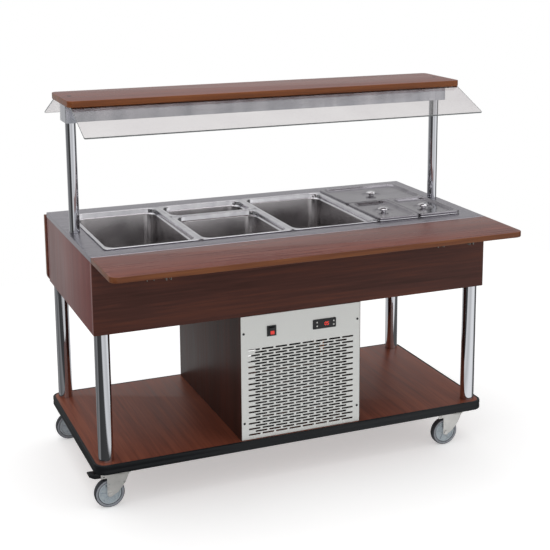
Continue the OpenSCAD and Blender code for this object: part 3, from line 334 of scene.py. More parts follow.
def shell(rings, closed=False):
    """Points and faces through rings of equal length, closed on itself or capped."""
    count = len(rings[0])
    points = [point for ring in rings for point in ring]
    faces = []
    for i in range(len(rings) if closed else len(rings) - 1):
        a, b = i * count, (i + 1) % len(rings) * count
        faces += [(a + j, a + (j + 1) % count, b + (j + 1) % count, b + j)
                  for j in range(count)]
    if not closed:
        faces += [tuple(range(count)), tuple(range(len(points) - count, len(points)))]
    return points, faces


def gathered(name, shells):
    """One mesh of several shells."""
    points, faces = [], []
    for some, sides in shells:
        faces += [[len(points) + i for i in face] for face in sides]
        points += some
    mesh = bpy.data.meshes.new(name)
    mesh.from_pydata(points, [], faces)
    return mesh


def face_out(mesh):
    """Turns the faces of closed shells outwards."""
    work = bmesh.new()
    work.from_mesh(mesh)
    bmesh.ops.recalc_face_normals(work, faces=work.faces)
    work.to_mesh(mesh)
    work.free()


def dress(obj, finishes, nodes, paint=None, smooth=32, outward=True):
    """Gives a piece its finishes, seats it on its body and lets it stand for its nodes."""
    mesh = obj.data
    if outward:
        face_out(mesh)
    kept = [face.material_index for face in mesh.polygons]
    mesh.materials.clear()
    for each in finishes:
        mesh.materials.append(each)
    for face, index in zip(mesh.polygons, kept):
        face.material_index = paint(face.normal, face.center) if paint else index
    mesh.shade_smooth()
    mesh.set_sharp_from_angle(angle=math.radians(smooth))
    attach(obj, frame["nodes"][nodes[0]]["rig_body"])
    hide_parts(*nodes)


def piece(name, shells, finishes, nodes, **dressing):
    """One object made of closed shells, which stands for the frame's nodes."""
    dress(put(name, gathered(name, shells)), finishes, nodes, **dressing)


deck_laminate = laminate("mahogany_melamine_deck", "laminate",
                         ("#6C392A", "#824735", "#96563F"), grain=1, roughness=0.36,
                         gloss=0.2)
low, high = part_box("base_board")
piece("base_deck", [shell(board_rings(low, high, DECK_RADIUS, BOARD_EDGE))],
      [deck_laminate], ["base_board"])

# ---- Bumper ----
# Extruded black rubber pressed round the base board's edge, with a soft outer face, a small
# lip over the board's top edge and a shallow groove along its middle.

BUMPER_RADIUS = 40 * mm
# The strip's section: inset from the outer face and height, millimetres
BUMPER_FORM = [(8, 0), (2, 0), (0.6, 0.8), (0, 2.6), (0, 12), (0.9, 14.2), (0.9, 17.8),
               (0, 20), (0, 29.4), (0.6, 31.2), (2, 32), (8, 32)]

# Matt moulded rubber: near black with a faint dusty bloom
bumper_rubber = finish("extruded_black_rubber", "rubber_bumper", "#14171A", 2.5 * mm,
                       ("#101316", "#191C20"), rough=(0.48, 0.62), relief=0.08 * mm,
                       Specular_IOR_Level=0.30)
low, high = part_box("base_bumper")
rings = [plan_ring(low, high, BUMPER_RADIUS, low[2] + z * mm, inset * mm, steps=10)
         for inset, z in BUMPER_FORM]
piece("bumper_strip", [shell(rings, closed=True)], [bumper_rubber], ["base_bumper"])

# ---- Casters ----
# Pressed zinc-plated forks on a ball race, grey rubber tyres on moulded hubs, and a black
# brake pedal on two of them. The forks and plates keep the frame's shape, edges eased.

# Half sections of tyre and hub, (radius, along the axle) in millimetres from their middle
TYRE_FORM = [(38, 9.5), (39.4, 9.5), (40.2, 12.2), (41.6, 13), (44, 13), (46.4, 12.3),
             (48.4, 10.6), (49.6, 8), (50, 4)]
HUB_FORM = [(4.1, 11), (10, 11), (11, 10.4), (12.4, 6.6), (14, 5.8), (29.5, 5.4), (32, 6.6),
            (33.2, 10.2), (34, 11), (36.6, 11), (37.4, 10.2)]
# Where the hub ends, and where the tyre's side wall starts and ends, radii in millimetres
HUB_OUT, WALL_IN, WALL_OUT = 37.6, 39.2, 46
RIBS, RIB_LOW, RIB_HIGH = 6, (12.5 * mm, -1.6 * mm, 5.2 * mm), (32 * mm, 1.6 * mm, 9.4 * mm)
WHEEL_STEPS = 64
# Points nearer than MERGE are one, faces that turn less than FLAT are flat, edges that
# turn more than SHARP degrees are eased, and no turned ring is tighter than POLE
MERGE, FLAT, SHARP = 0.01 * mm, math.radians(0.8), 42
POLE = 0.05 * mm


def ease_edges(carrier, width, segments, angle):
    """Rounds every edge that turns by more than the angle in degrees."""
    edges = carrier.modifiers.new("edges", "BEVEL")
    edges.width = width
    edges.segments = segments
    edges.limit_method = "ANGLE"
    edges.angle_limit = math.radians(angle)
    return edges


def baked(carrier):
    """The plain mesh that a carrier's modifiers make. The carrier goes."""
    graph = bpy.context.evaluated_depsgraph_get()
    mesh = bpy.data.meshes.new_from_object(carrier.evaluated_get(graph))
    bpy.data.objects.remove(carrier)
    return mesh


def refined(node, finishes, edge, bends=2, paint=None, smooth=38):
    """A copy of a frame solid with its sharp edges rounded, which stands for it."""
    mesh = frame["nodes"][node].data.copy()
    work = bmesh.new()
    work.from_mesh(mesh)
    bmesh.ops.remove_doubles(work, verts=work.verts, dist=MERGE)
    bmesh.ops.dissolve_limit(work, angle_limit=FLAT, verts=work.verts, edges=work.edges)
    work.to_mesh(mesh)
    work.free()
    carrier = put(node + "_carrier", mesh)
    ease_edges(carrier, edge, bends, SHARP)
    dress(put(node + "_made", baked(carrier)), finishes, [node], paint=paint,
          smooth=smooth, outward=False)


def turned(profile, centre=(0, 0, 0), axis=2, steps=48, closed=False):
    """A shell turned about an axis through the centre, from (radius, along) pairs."""
    u, v = [(1, 2), (2, 0), (0, 1)][axis]
    rings = []
    for radius, along in profile:
        ring = []
        for k in range(steps):
            a = 2 * math.pi * k / steps
            point = list(centre)
            point[axis] += along
            point[u] += max(radius, POLE) * math.cos(a)
            point[v] += max(radius, POLE) * math.sin(a)
            ring.append(tuple(point))
        rings.append(ring)
    return shell(rings, closed)


def on_mm(pairs):
    """A profile typed in millimetres, in metres."""
    return [(a * mm, b * mm) for a, b in pairs]


def both_sides(half):
    """A half profile and its mirror image on the other side of the middle."""
    return half + [(radius, -along) for radius, along in reversed(half)]


# Bright zinc plating: pale, slightly warm, with cloudy patches from the bath
zinc = finish("bright_zinc_plate", "zinc", "#DEDEDA", 24 * mm, ("#D8D8D5", "#E6E5E2"),
              rough=(0.26, 0.40), detail=1.5, Metallic=0.3)
# Grey thermoplastic rubber: a dark tread, partly painted shade, between paler side walls
tyre_rubber_and_shade = finish("dark_tread_rubber", "wheel", "#3C3D43", 5 * mm, ("#333439", "#484A50"),
                     rough=(0.5, 0.68), relief=0.1 * mm)
side_rubber = finish("grey_side_wall_rubber", "wheel", "#9A9EA6", 5 * mm,
                     ("#8E929A", "#A6AAB1"), rough=(0.36, 0.5), relief=0.06 * mm)
# Moulded polypropylene: satin blue-grey with a green cast
hub_plastic = finish("grey_moulded_hub", "wheel", "#BFC9D2", 4 * mm, ("#B4BFC9", "#CAD3D6"),
                     rough=(0.28, 0.40), relief=0.04 * mm)
# Black ABS with a fine spark-eroded grain
black_abs = finish("black_abs", "black_plastic", "#17181B", 1.2 * mm, ("#131417", "#1D1F23"),
                   rough=(0.38, 0.52), relief=0.05 * mm)

refined("caster_plates", [zinc], 0.6 * mm)
for corner in ("fl", "fr", "rl", "rr"):
    refined("fork_" + corner, [zinc], 0.7 * mm, bends=3)
    low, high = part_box("wheel_" + corner)
    axle = (low + high) / 2
    wheel = [turned(on_mm(both_sides(form)), axle, axis=1, steps=WHEEL_STEPS, closed=True)
             for form in (TYRE_FORM, HUB_FORM)]
    for k in range(RIBS):
        turn = Matrix.Rotation(2 * math.pi * k / RIBS, 4, "Y")
        for face in (-1, 1):
            block = board_rings(RIB_LOW, RIB_HIGH, radius=0.5 * mm, edge=0.5 * mm, bends=1)
            wheel.append(shell([[tuple(axle + turn @ Vector((x, face * z, y)))
                                 for x, y, z in ring] for ring in block]))

    def by_radius(normal, at):
        """Hub, side wall or tread, by how far a face lies from the axle."""
        out = math.hypot(at[0] - axle[0], at[2] - axle[2]) / mm
        if out <= HUB_OUT:
            return 0
        # The tread's dark rubber, partly painted shade, also takes the shoulder and the groove
        # by the hub
        return 1 if WALL_IN <= out <= WALL_OUT else 2

    piece("wheel_" + corner + "_made", wheel, [hub_plastic, side_rubber, tyre_rubber_and_shade],
          ["wheel_" + corner], paint=by_radius)
for corner in ("fl", "rr"):
    refined("brake_pedal_" + corner, [black_abs], 1.6 * mm, bends=3, smooth=50)

# ---- Legs ----
# Chromed steel tube, 50 mm, with a bored plug pressed into each end. Bolts through the base
# and the box's floor are screwed into the plugs.

LEG_R, LEG_END, LEG_STEPS = 25 * mm, 0.8 * mm, 64
TUBE_WALL = 1.5 * mm
PLUG_BORE, PLUG_GAP, PLUG_DEEP = 4.2 * mm, 0.1 * mm, 25 * mm
# Decorative chrome: near mirror, with a trace of polishing haze
chrome = finish("polished_chrome", "chrome_tube", "#D9DBE0", 30 * mm, rough=(0.045, 0.09),
                stretch=(1, 1, 4), Metallic=1.0)


def plugged_tube(x, y, foot, radius, length, end, steps):
    """A tube with softened ends, and its two plugs."""
    inner = radius - TUBE_WALL
    tube = [(inner, 0), (radius - end, 0), (radius, end), (radius, length - end),
            (radius - end, length), (inner, length)]
    plug = [(PLUG_BORE, 0), (inner - PLUG_GAP, 0), (inner - PLUG_GAP, PLUG_DEEP),
            (PLUG_BORE, PLUG_DEEP)]
    return [turned(tube, (x, y, foot), steps=steps, closed=True)] + [
        turned(plug, (x, y, foot + base), closed=True) for base in (0, length - PLUG_DEEP)]


leg_low, leg_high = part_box("legs")
leg_spots = [(x, y) for x in (leg_low[0] + LEG_R, leg_high[0] - LEG_R)
             for y in (leg_low[1] + LEG_R, leg_high[1] - LEG_R)]
stands = []
for x, y in leg_spots:
    stands += plugged_tube(x, y, leg_low[2], LEG_R, leg_high[2] - leg_low[2], LEG_END,
                           LEG_STEPS)
piece("chrome_legs", stands, [chrome], ["legs"])

# ---- Box ----
# Five laminated boards round the foam: the end boards stand between the front and rear
# ones, and thin orange-brown edging shows where a board's edge is eased.

SQUARE_ON = 0.98
box_laminate = laminate("dark_mahogany_melamine", "dark_laminate",
                        ("#41251E", "#502F28", "#62382B"), grain=0, roughness=0.34,
                        gloss=0.15)
# Beech lipping stained orange-brown: straight grain, satin lacquer
edge_lipping = laminate("stained_wood_lipping", "edge_laminate",
                        ("#693A1F", "#7F4724", "#93572E"), grain=0, roughness=0.34)
# The end boards take a redder, paler copy of the laminate: painted light, as lit from the left
lit_end_laminate = laminate("mahogany_melamine_ends", "dark_laminate",
                        ("#6A3A38", "#774441", "#854F4B"), grain=2, roughness=0.34)
# Poured polyurethane foam, seen only where a pan is out and through the drain
foam = finish("poured_foam", "foam", "#E8DFA8", 4 * mm, ("#D9CE93", "#F0E8B8"),
              relief=0.6 * mm, Roughness=0.9)


def eased(normal, at):
    """The lipping shows on the eased edges of a board, between its square faces."""
    return int(max(abs(part) for part in normal) < SQUARE_ON)


def board_side_and_lit_ends(normal, at):
    """Long boards, lipping on the eased edges, and end boards in their painted lit copy."""
    return 2 if abs(normal[0]) > SQUARE_ON else eased(normal, at)


refined("box_panels", [box_laminate, edge_lipping, lit_end_laminate], 1.0 * mm, paint=board_side_and_lit_ends)
refined("bottom_panel", [box_laminate, edge_lipping], 0.8 * mm, paint=eased)
frame["nodes"]["insulation"].data.materials.clear()
frame["nodes"]["insulation"].data.materials.append(foam)

# ---- Steel top and well ----
# Brushed stainless sheet with its front, rear and ends folded down into a skirt, and a
# turned-down edge round the cut-out. The liner is a welded tub; bars cross it.

SKIRT_R, TOP_BEND, TOP_SHEET, FOLD_EASE = 2 * mm, 2.2 * mm, 1 * mm, 0.8 * mm
CUT_R, CUT_IN = 38 * mm, 1 * mm
# The cut-out's edge, down its near side and up its far side: growth and drop, millimetres
CUT_EDGE = [(1.6, 0), (0.5, 0.3), (0, 1.6), (0, 9), (0.9, 9), (0.9, 2.0), (0.2, 1.1),
            (1.6, 1.0)]
BRUSH_TONES = ("#918E97", "#AFACB3")


def bend_rings(low, high, bend, steps):
    """Rings over a folded sheet's outer bend, from its side up to its flat."""
    turns = [math.pi / 2 * k / steps for k in range(steps + 1)]
    return [plan_ring(low, high, bend, high[2] - bend * (1 - math.sin(a)),
                      bend * (1 - math.cos(a))) for a in turns]


# Brushed stainless: long fine scratches, greyer where it is rougher. The scratch is drawn
# 0.8 mm wide, coarser than the real one, so that it shows
brushed_x = finish("brushed_stainless_lengthwise", "stainless", "#A29FA7", 0.8 * mm,
                   BRUSH_TONES, rough=(0.24, 0.38), detail=2.0, stretch=(160, 1, 1),
                   Metallic=1.0)
brushed_y = finish("brushed_stainless_crosswise", "stainless", "#A29FA7", 0.8 * mm,
                   BRUSH_TONES, rough=(0.22, 0.36), detail=2.0, stretch=(1, 160, 1),
                   Metallic=1.0)
low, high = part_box("steel_top")
tub_low, tub_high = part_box("well_liner")
cut_low = [tub_low[i] + CUT_IN for i in (0, 1)]
cut_high = [tub_high[i] - CUT_IN for i in (0, 1)]
rings = [plan_ring(low, high, SKIRT_R, low[2], TOP_SHEET),
         plan_ring(low, high, SKIRT_R, low[2])]
rings += bend_rings(low, high, TOP_BEND, 4)
rings += [plan_ring(cut_low, cut_high, CUT_R, high[2] - drop * mm, -growth * mm)
          for growth, drop in CUT_EDGE]
under = high[2] - TOP_SHEET
rings += [plan_ring(low, high, SKIRT_R, under, TOP_SHEET + FOLD_EASE),
          plan_ring(low, high, SKIRT_R, under - FOLD_EASE, TOP_SHEET)]
piece("steel_worktop", [shell(rings, closed=True)], [brushed_x], ["steel_top"], smooth=50)
refined("well_liner", [brushed_x], 0.3 * mm, bends=1)
refined("pan_bars", [brushed_y], 1.2 * mm)
refined("drain_plug", [black_abs], 1.0 * mm)

# ---- Pans ----
# Gastronorm pans drawn from thin stainless sheet: a rolled rim with a flat hanging edge, a
# stacking step below it, drafted walls and a floor with a wide soft corner.

PANS = ("pan_1", "pan_2_front", "pan_2_rear", "pan_3", "pan_4_left", "pan_4_right",
        "pan_4_rear")
RIM_R, WALL_R, RIM_DEEP, RIM_WIDE = 14 * mm, 38 * mm, 19.6 * mm, 12
# Drawn stainless: bright-rolled sheet, softened by the draw into faint broad clouds
drawn_steel = finish("drawn_stainless", "stainless", "#B4B1B2", 70 * mm,
                     ("#ADAAAB", "#BBB8B9"), rough=(0.19, 0.25), detail=0.5, Metallic=1.0)
# The rolled rim and the step under it are buffed to a clear shine
buffed_rim = finish("buffed_rim_steel", "stainless", "#DAD9DD", 40 * mm,
                    ("#D2D1D6", "#E2E1E5"), rough=(0.09, 0.15), detail=1.0, Metallic=1.0)


def pan_form(deep):
    """Pairs of inset from the rim's edge and height under the rim's crown, millimetres."""
    return [(60, -deep), (22, -deep), (18, 1.2 - deep), (15.6, 5 - deep), (15, 9 - deep),
            (14.6, -22), (13, -18.4), (12.2, -17), (12, -5.6), (11.6, -4.3), (4, -3.4),
            (2.6, -3.8), (0.7, -3.3), (0, -2.2), (0, -1.5), (0.6, -0.5), (1.8, 0),
            (3.2, -0.2), (4.6, -0.9), (9.6, -0.9), (11.8, -1.5), (13.0, -3.2),
            (13.3, -15.6), (13.9, -17.0), (16.6, -18.2), (18.2, -19.4), (18.8, -21.4),
            (19.4, 12 - deep), (20.2, 7 - deep), (23, 3 - deep), (28, 1.5 - deep),
            (60, 1.3 - deep)]


for name in PANS:
    low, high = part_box(name)
    rings = []
    for inset, z in pan_form((high[2] - low[2]) / mm):
        radius = RIM_R + (WALL_R - RIM_R) * min(1.0, inset / RIM_WIDE) + inset * mm
        rings.append(plan_ring(low, high, radius, high[2] + z * mm, inset * mm, steps=8))
    piece(name + "_made", [shell(rings)], [drawn_steel, buffed_rim], [name], smooth=60,
          paint=lambda normal, at: int(at[2] > high[2] - RIM_DEEP))

# ---- Lids ----
# Stamped stainless lids for the three rear-right pans: a turned-down edge, a flat border, a
# sunken field with a round dish in it, and a low turned knob riveted in the dish.

LIDS = ("lid_left", "lid_right", "lid_rear")
LID_R, FIELD_R = 14 * mm, 30 * mm
# Millimetres: the sheet, the width of the turned-down edge, the inset over which the
# corners grow to the field's, and how low the underside may come
LID_SHEET, EDGE_WIDE, STEP_WIDE, EDGE_FOOT = 1.0, 4, 15, 0.2
# From the edge's foot over the border and down the step to the field: inset from the edge
# and height over the foot
LID_EDGE = [(0.4, 0.2), (0, 0.9), (0, 4.8), (0.5, 6.4), (1.7, 7.5), (3.6, 8.0), (9, 8.0),
            (10.8, 7.3), (12.8, 5.0), (15, 2.2), (17.2, 0.9), (20, 0.6), (25, 0.5)]
# From the field down into the dish: radius and height
LID_DISH = [(42, 0.5), (39, 0.1), (35, -1.5), (30, -2.8), (23, -3.3), (6, -3.4)]
KNOB = [(0, -3.9), (10, -3.9), (10.4, -3.0), (9, -1.6), (9.2, 1.2), (12, 3.0), (17, 4.2),
        (20, 5.4), (20.4, 7.0), (19, 9.2), (15.6, 11.6), (10.6, 13.6), (5, 14.7), (0, 15)]
KNOB_REACH, KNOB_FOOT = 21 * mm, -3.2 * mm
# Stamped and buffed stainless: smoother than the brushed top, faintly rippled
stamped_steel = finish("stamped_stainless", "stainless", "#98959A", 60 * mm,
                       ("#8D8A90", "#A3A0A6"), rough=(0.16, 0.26), detail=1.5, Metallic=1.0)
# Spun stainless knob, polished bright
knob_steel = finish("polished_knob_steel", "stainless", "#DEDCDF", 12 * mm,
                    ("#D4D2D6", "#E6E5E8"), rough=(0.06, 0.13), Metallic=1.0)


def lid_rings(low, high, centre):
    """From the edge over the border, the field and the dish, then back on the underside."""
    def at_edge(inset, z):
        radius = LID_R + (FIELD_R - LID_R) * min(1.0, inset / STEP_WIDE) + inset * mm
        return plan_ring(low, high, radius, low[2] + z * mm, inset * mm, steps=8)

    # The dish's rings are even round the middle, from the middle of the field's first corner
    field = at_edge(*LID_EDGE[-1])
    count = len(field)
    corner = sum(((Vector(point) - centre).xy for point in field[:count // 4]),
                 Vector((0, 0)))
    start = math.atan2(corner[1], corner[0]) - math.pi * (count / 4 - 1) / count

    def in_dish(r, z):
        turns = [start + 2 * math.pi * k / count for k in range(count)]
        return [(centre[0] + r * mm * math.cos(a), centre[1] + r * mm * math.sin(a),
                 low[2] + z * mm) for a in turns]

    top = [at_edge(*pair) for pair in LID_EDGE] + [in_dish(*pair) for pair in LID_DISH]
    under = [in_dish(r, z - LID_SHEET) for r, z in reversed(LID_DISH)]
    for inset, z in reversed(LID_EDGE[1:]):
        if inset < EDGE_WIDE:
            under.append(at_edge(inset + LID_SHEET, max(z - LID_SHEET, EDGE_FOOT)))
        else:
            under.append(at_edge(inset, z - LID_SHEET))
    return top + under


for name in LIDS:
    low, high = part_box(name)
    centre = Vector(((low[0] + high[0]) / 2, (low[1] + high[1]) / 2, low[2]))

    def knob_side(normal, at):
        """The knob stands in the dish: all that is near the middle and above its floor."""
        return int((at - centre).xy.length < KNOB_REACH and at[2] - centre[2] > KNOB_FOOT)

    piece(name + "_made",
          [shell(lid_rings(low, high, centre), closed=True),
           turned(on_mm(KNOB), centre, steps=40)],
          [stamped_steel, knob_steel], [name], smooth=55, paint=knob_side)

# ---- Compressor cabinet ----
# Two laminated boards carry the box's middle and close the cabinet's sides. The slotted
# panels, front and rear, are screwed to their edges.

# Painted shade: the upright boards under the box take darker tones than the box's own laminate
shaded_cabinet_laminate = laminate("dark_mahogany_upright", "dark_laminate",
                            ("#33201B", "#412721", "#542E25"), grain=2, roughness=0.36,
                            gloss=0.12)
refined("cabinet_sides", [shaded_cabinet_laminate, edge_lipping], 0.8 * mm, paint=eased)

# ---- Slotted panels ----
# Punched steel sheet in pale grey stove enamel: whole rows of slots with a staggered row
# between each two, round-ended, and openings for the controls or the cable gland.

SLOT_L, SLOT_H, SLOT_PITCH, ROW_PITCH = 43 * mm, 6.0 * mm, 49.3 * mm, 20 * mm
SLOTS, ROWS, FIRST_ROW = 8, 16, 118 * mm
# A slot's corner radius as a share of its height, just under a half round
SLOT_END = 0.46
SHEET, PANEL_R = 1.2 * mm, 1.0 * mm
SCREW_IN, SCREW_UP, SCREW_HOLE = 9.5 * mm, 59 * mm, 2.1 * mm
CONTROL_DROP, SWITCH_X, THERMO_X = 59 * mm, 109.5 * mm, 84.5 * mm
SWITCH_HOLE, THERMO_HOLE, HOLE_R = (27 * mm, 30 * mm), (80 * mm, 28 * mm), 1 * mm
GLAND_X, GLAND_R = 150 * mm, 10 * mm
# The gland's section: radius and way out through the rear panel, millimetres
GLAND_FORM = [(4.5, -15), (9.6, -15), (9.6, -4), (14, -3.8), (14, -1.4), (9.6, -1.2),
              (9.6, 0.2), (14, 0.3), (14, 4.4), (12.4, 5.4), (12, 9), (10.4, 12.6),
              (7.4, 14.8), (4.5, 15)]
# Stove enamel on steel sheet: semi-matt, with the faint dimples of sprayed paint
enamel = finish("pale_grey_stove_enamel", "panel_grey", "#EBEDEA", 2.2 * mm,
                ("#E6E8E5", "#F0F2EF"), rough=(0.38, 0.5), relief=0.03 * mm)


def geometry_tree(name, **kinds):
    """An empty geometry tree with one named input for each size."""
    tree = bpy.data.node_groups.new(name, "GeometryNodeTree")
    tree.interface.new_socket("Geometry", in_out="INPUT", socket_type="NodeSocketGeometry")
    for each, kind in kinds.items():
        tree.interface.new_socket(each, in_out="INPUT", socket_type="NodeSocket" + kind)
    tree.interface.new_socket("Geometry", in_out="OUTPUT", socket_type="NodeSocketGeometry")
    return tree, tree.nodes.new("NodeGroupInput").outputs


def end_tree(tree, geometry, material):
    """Ends a geometry tree: its instances are made real and take their finish."""
    real = add(tree, "GeometryNodeRealizeInstances", {"Geometry": geometry})
    done = add(tree, "GeometryNodeSetMaterial", {"Geometry": real, "Material": material})
    add(tree, "NodeGroupOutput", {"Geometry": done})


def grown(tree, points, edges=(), **values):
    """The plain mesh that a geometry tree makes of loose points and edges."""
    base = bpy.data.meshes.new(tree.name)
    base.from_pydata(points, list(edges), [])
    carrier = put(tree.name + "_carrier", base)
    modifier = carrier.modifiers.new("grow", "NODES")
    modifier.node_group = tree
    for item in tree.interface.items_tree:
        if item.name in values:
            modifier[item.identifier] = values[item.name]
    return baked(carrier)


# The slots' middles are two grids, one a slot and a row less than the other. Their outlines
# and the sheet's own are filled as one face with holes, which then gets its thickness.
punching, given = geometry_tree(
    "punched_sheet", Slot_length="Float", Slot_height="Float", Slot_pitch="Float",
    Row_pitch="Float", Slots="Int", Rows="Int", First_row="Float", Thickness="Float",
    Finish="Material")
corner = add(punching, "ShaderNodeMath", {0: given["Slot_height"], 1: SLOT_END},
             operation="MULTIPLY")
slot = add(punching, "GeometryNodeCurvePrimitiveQuadrilateral", {
    "Width": given["Slot_length"], "Height": given["Slot_height"]})
slot = add(punching, "GeometryNodeFilletCurve", {
    "Curve": slot, "Radius": corner, "Count": 2, "Limit Radius": True}, mode="POLY")
fields, heights = [], []
for less in (0.0, 1.0):
    counts, sizes = [], []
    for number, pitch in (("Slots", "Slot_pitch"), ("Rows", "Row_pitch")):
        count = add(punching, "ShaderNodeMath", {0: given[number], 1: less},
                    operation="SUBTRACT")
        gaps = add(punching, "ShaderNodeMath", {0: count, 1: 1.0}, operation="SUBTRACT")
        size = add(punching, "ShaderNodeMath", {0: gaps, 1: given[pitch]},
                   operation="MULTIPLY")
        counts.append(count)
        sizes.append(size)
    fields.append(add(punching, "GeometryNodeMeshGrid", {
        "Size X": sizes[0], "Size Y": sizes[1], "Vertices X": counts[0],
        "Vertices Y": counts[1]}))
    heights.append(sizes[1])
places = add(punching, "GeometryNodeJoinGeometry", {"Geometry": fields})
half_field = add(punching, "ShaderNodeMath", {0: heights[0], 1: -0.5}, operation="MULTIPLY")
drop = add(punching, "ShaderNodeMath", {0: half_field, 1: given["First_row"]},
           operation="SUBTRACT")
shift = add(punching, "ShaderNodeCombineXYZ", {"Y": drop})
places = add(punching, "GeometryNodeTransform", {"Geometry": places, "Translation": shift})
cuts = add(punching, "GeometryNodeInstanceOnPoints", {"Points": places, "Instance": slot})
cuts = add(punching, "GeometryNodeRealizeInstances", {"Geometry": cuts})
outline = add(punching, "GeometryNodeMeshToCurve", {"Mesh": given["Geometry"]})
loops = add(punching, "GeometryNodeJoinGeometry", {"Geometry": [cuts, outline]})
sheet = add(punching, "GeometryNodeFillCurve", {"Curve": loops})
front = add(punching, "GeometryNodeExtrudeMesh", {
    "Mesh": sheet, "Offset Scale": given["Thickness"], "Individual": False})
back = add(punching, "GeometryNodeFlipFaces", {"Mesh": sheet})
whole = add(punching, "GeometryNodeJoinGeometry", {"Geometry": [front, back]})
whole = add(punching, "GeometryNodeMergeByDistance", {"Geometry": whole, "Distance": MERGE})
end_tree(punching, whole, given["Finish"])


def loop_of(size, x, y, radius, steps=5):
    """The corners of a rounded opening of that size about x, y in the sheet's plane."""
    across, up = size[0] / 2, size[1] / 2
    return plan_ring((x - across, y - up), (x + across, y + up), radius, 0.0, steps=steps)


def punched_panel(name, node, low, high, outward, openings):
    """A slotted panel on the plane of its outer face; outward is -1 at the front."""
    width, height = high[0] - low[0], high[2] - low[2]
    loops = [loop_of((width, height), 0, -height / 2, PANEL_R)] + openings
    for x in (-1, 1):
        for drop in (SCREW_UP, height - SCREW_UP):
            loops.append(loop_of((2 * SCREW_HOLE, 2 * SCREW_HOLE),
                                 x * (width / 2 - SCREW_IN), -drop, SCREW_HOLE, steps=4))
    points, edges = [], []
    for loop in loops:
        edges += [(len(points) + i, len(points) + (i + 1) % len(loop))
                  for i in range(len(loop))]
        points += loop
    mesh = grown(punching, points, edges, Slot_length=SLOT_L, Slot_height=SLOT_H,
                 Slot_pitch=SLOT_PITCH, Row_pitch=ROW_PITCH, Slots=SLOTS, Rows=ROWS,
                 First_row=FIRST_ROW, Thickness=SHEET, Finish=enamel)
    face = low[1] if outward < 0 else high[1]
    stand = Matrix.Rotation(math.pi / 2, 4, "X")
    if outward > 0:
        stand = Matrix.Rotation(math.pi, 4, "Z") @ stand
    middle = (low[0] + high[0]) / 2
    mesh.transform(Matrix.Translation((middle, face - outward * SHEET, high[2])) @ stand)
    dress(put(name, mesh), [enamel], [node], smooth=25)


panel_low, panel_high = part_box("service_panel")
panel_face, control_z = panel_low[1], panel_high[2] - CONTROL_DROP
punched_panel("service_panel_made", "service_panel", panel_low, panel_high, -1,
              [loop_of(SWITCH_HOLE, -SWITCH_X, -CONTROL_DROP, HOLE_R),
               loop_of(THERMO_HOLE, THERMO_X, -CONTROL_DROP, HOLE_R)])
rear_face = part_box("cabinet_sides")[1][1] + SHEET
punched_panel("rear_panel_made", "rear_grille", panel_low,
              (panel_high[0], rear_face, panel_high[2]), 1,
              [loop_of((2 * GLAND_R, 2 * GLAND_R), GLAND_X, -CONTROL_DROP, GLAND_R,
                       steps=8)])
# Nylon cable gland: a domed nut on a ribbed collar, its bore left open for the lead
piece("cable_gland",
      [turned(on_mm(GLAND_FORM), (-GLAND_X, rear_face, control_z), axis=1, steps=32,
              closed=True)], [black_abs], ["rear_grille"])

# ---- Screws ----
# Countersunk cross-recess screws of blackened steel hold the panels, and small domed plugs
# of dark plastic close the holes of the canopy's bolts. Hexagon bolts hold the legs.

# Sections from the axis, radius and height in millimetres: the screw, the plug on its pin
SCREW_FORM = [(0, -0.3), (1.0, -0.3), (1.3, 0.9), (3.0, 1.3), (4.0, 1.0), (4.0, 0.7),
              (2.2, -1.0), (1.9, -13), (0, -15)]
PLUG_FORM = [(0, -22), (3.9, -22), (3.9, -6.3), (7.6, -6.2), (7.6, -0.3), (7.1, -0.08),
             (0, -0.03)]
HEX_R, HEX_H, SHANK_R, SHANK_END = 7.4 * mm, 5.6 * mm, 4 * mm, 46 * mm
# Where the bolts' heads end, over the board's underside and over the legs' tops
HEAD_UNDER, HEAD_OVER = 0.2 * mm, 18 * mm
POST_R = 17.5 * mm
# Blackened steel, slightly oily
black_steel = finish("blackened_steel_screw", "zinc", "#2A2C2F", 1.5 * mm,
                     ("#202225", "#34363A"), rough=(0.36, 0.5), Metallic=1.0)
screwing, given = geometry_tree("screws_on_points", Screw="Object", Finish="Material")
shape = add(screwing, "GeometryNodeObjectInfo", {"Object": given["Screw"]})
copies = add(screwing, "GeometryNodeInstanceOnPoints", {
    "Points": given["Geometry"], "Instance": shape.outputs["Geometry"]})
end_tree(screwing, copies, given["Finish"])


def repeated(name, shells, points, material):
    """One piece of the same shape at each point, grown by the screw tree."""
    mesh = gathered(name + "_pattern", shells)
    face_out(mesh)
    pattern = bpy.data.objects.new(name + "_pattern", mesh)
    made = grown(screwing, points, Screw=pattern, Finish=material)
    bpy.data.objects.remove(pattern)
    dress(put(name, made), [material], ["fasteners"], smooth=35)


def leg_bolt(up):
    """A hexagon head and its shank, which point upwards at 1 and downwards at -1."""
    turns = [math.pi / 3 * k for k in range(6)]
    head = [[(HEX_R * math.cos(a), HEX_R * math.sin(a), z) for a in turns]
            for z in (0, up * HEX_H)]
    shank = [(SHANK_R, up * HEX_H), (SHANK_R, up * SHANK_END)]
    return [shell(head), turned(shank, steps=20)]


for side_name, outward, face in (("front", -1, panel_face), ("rear", 1, rear_face)):
    spots = [(x, face, z)
             for x in (panel_low[0] + SCREW_IN, panel_high[0] - SCREW_IN)
             for z in (panel_high[2] - SCREW_UP, panel_low[2] + SCREW_UP)]
    head = [(radius, outward * out) for radius, out in SCREW_FORM]
    repeated("panel_screws_" + side_name, [turned(on_mm(head), axis=1, steps=20)], spots,
             black_steel)
post_low, post_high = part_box("posts")
roof_low, roof_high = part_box("canopy_shelf")
cart_y = (roof_low[1] + roof_high[1]) / 2
post_spots = [post_low[0] + POST_R, post_high[0] - POST_R]
repeated("canopy_plugs", [turned(on_mm(PLUG_FORM))],
         [(x, cart_y, roof_high[2]) for x in post_spots], black_abs)
board_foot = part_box("base_board")[0][2]
repeated("leg_bolts_below", leg_bolt(1),
         [(x, y, board_foot + HEAD_UNDER) for x, y in leg_spots], zinc)
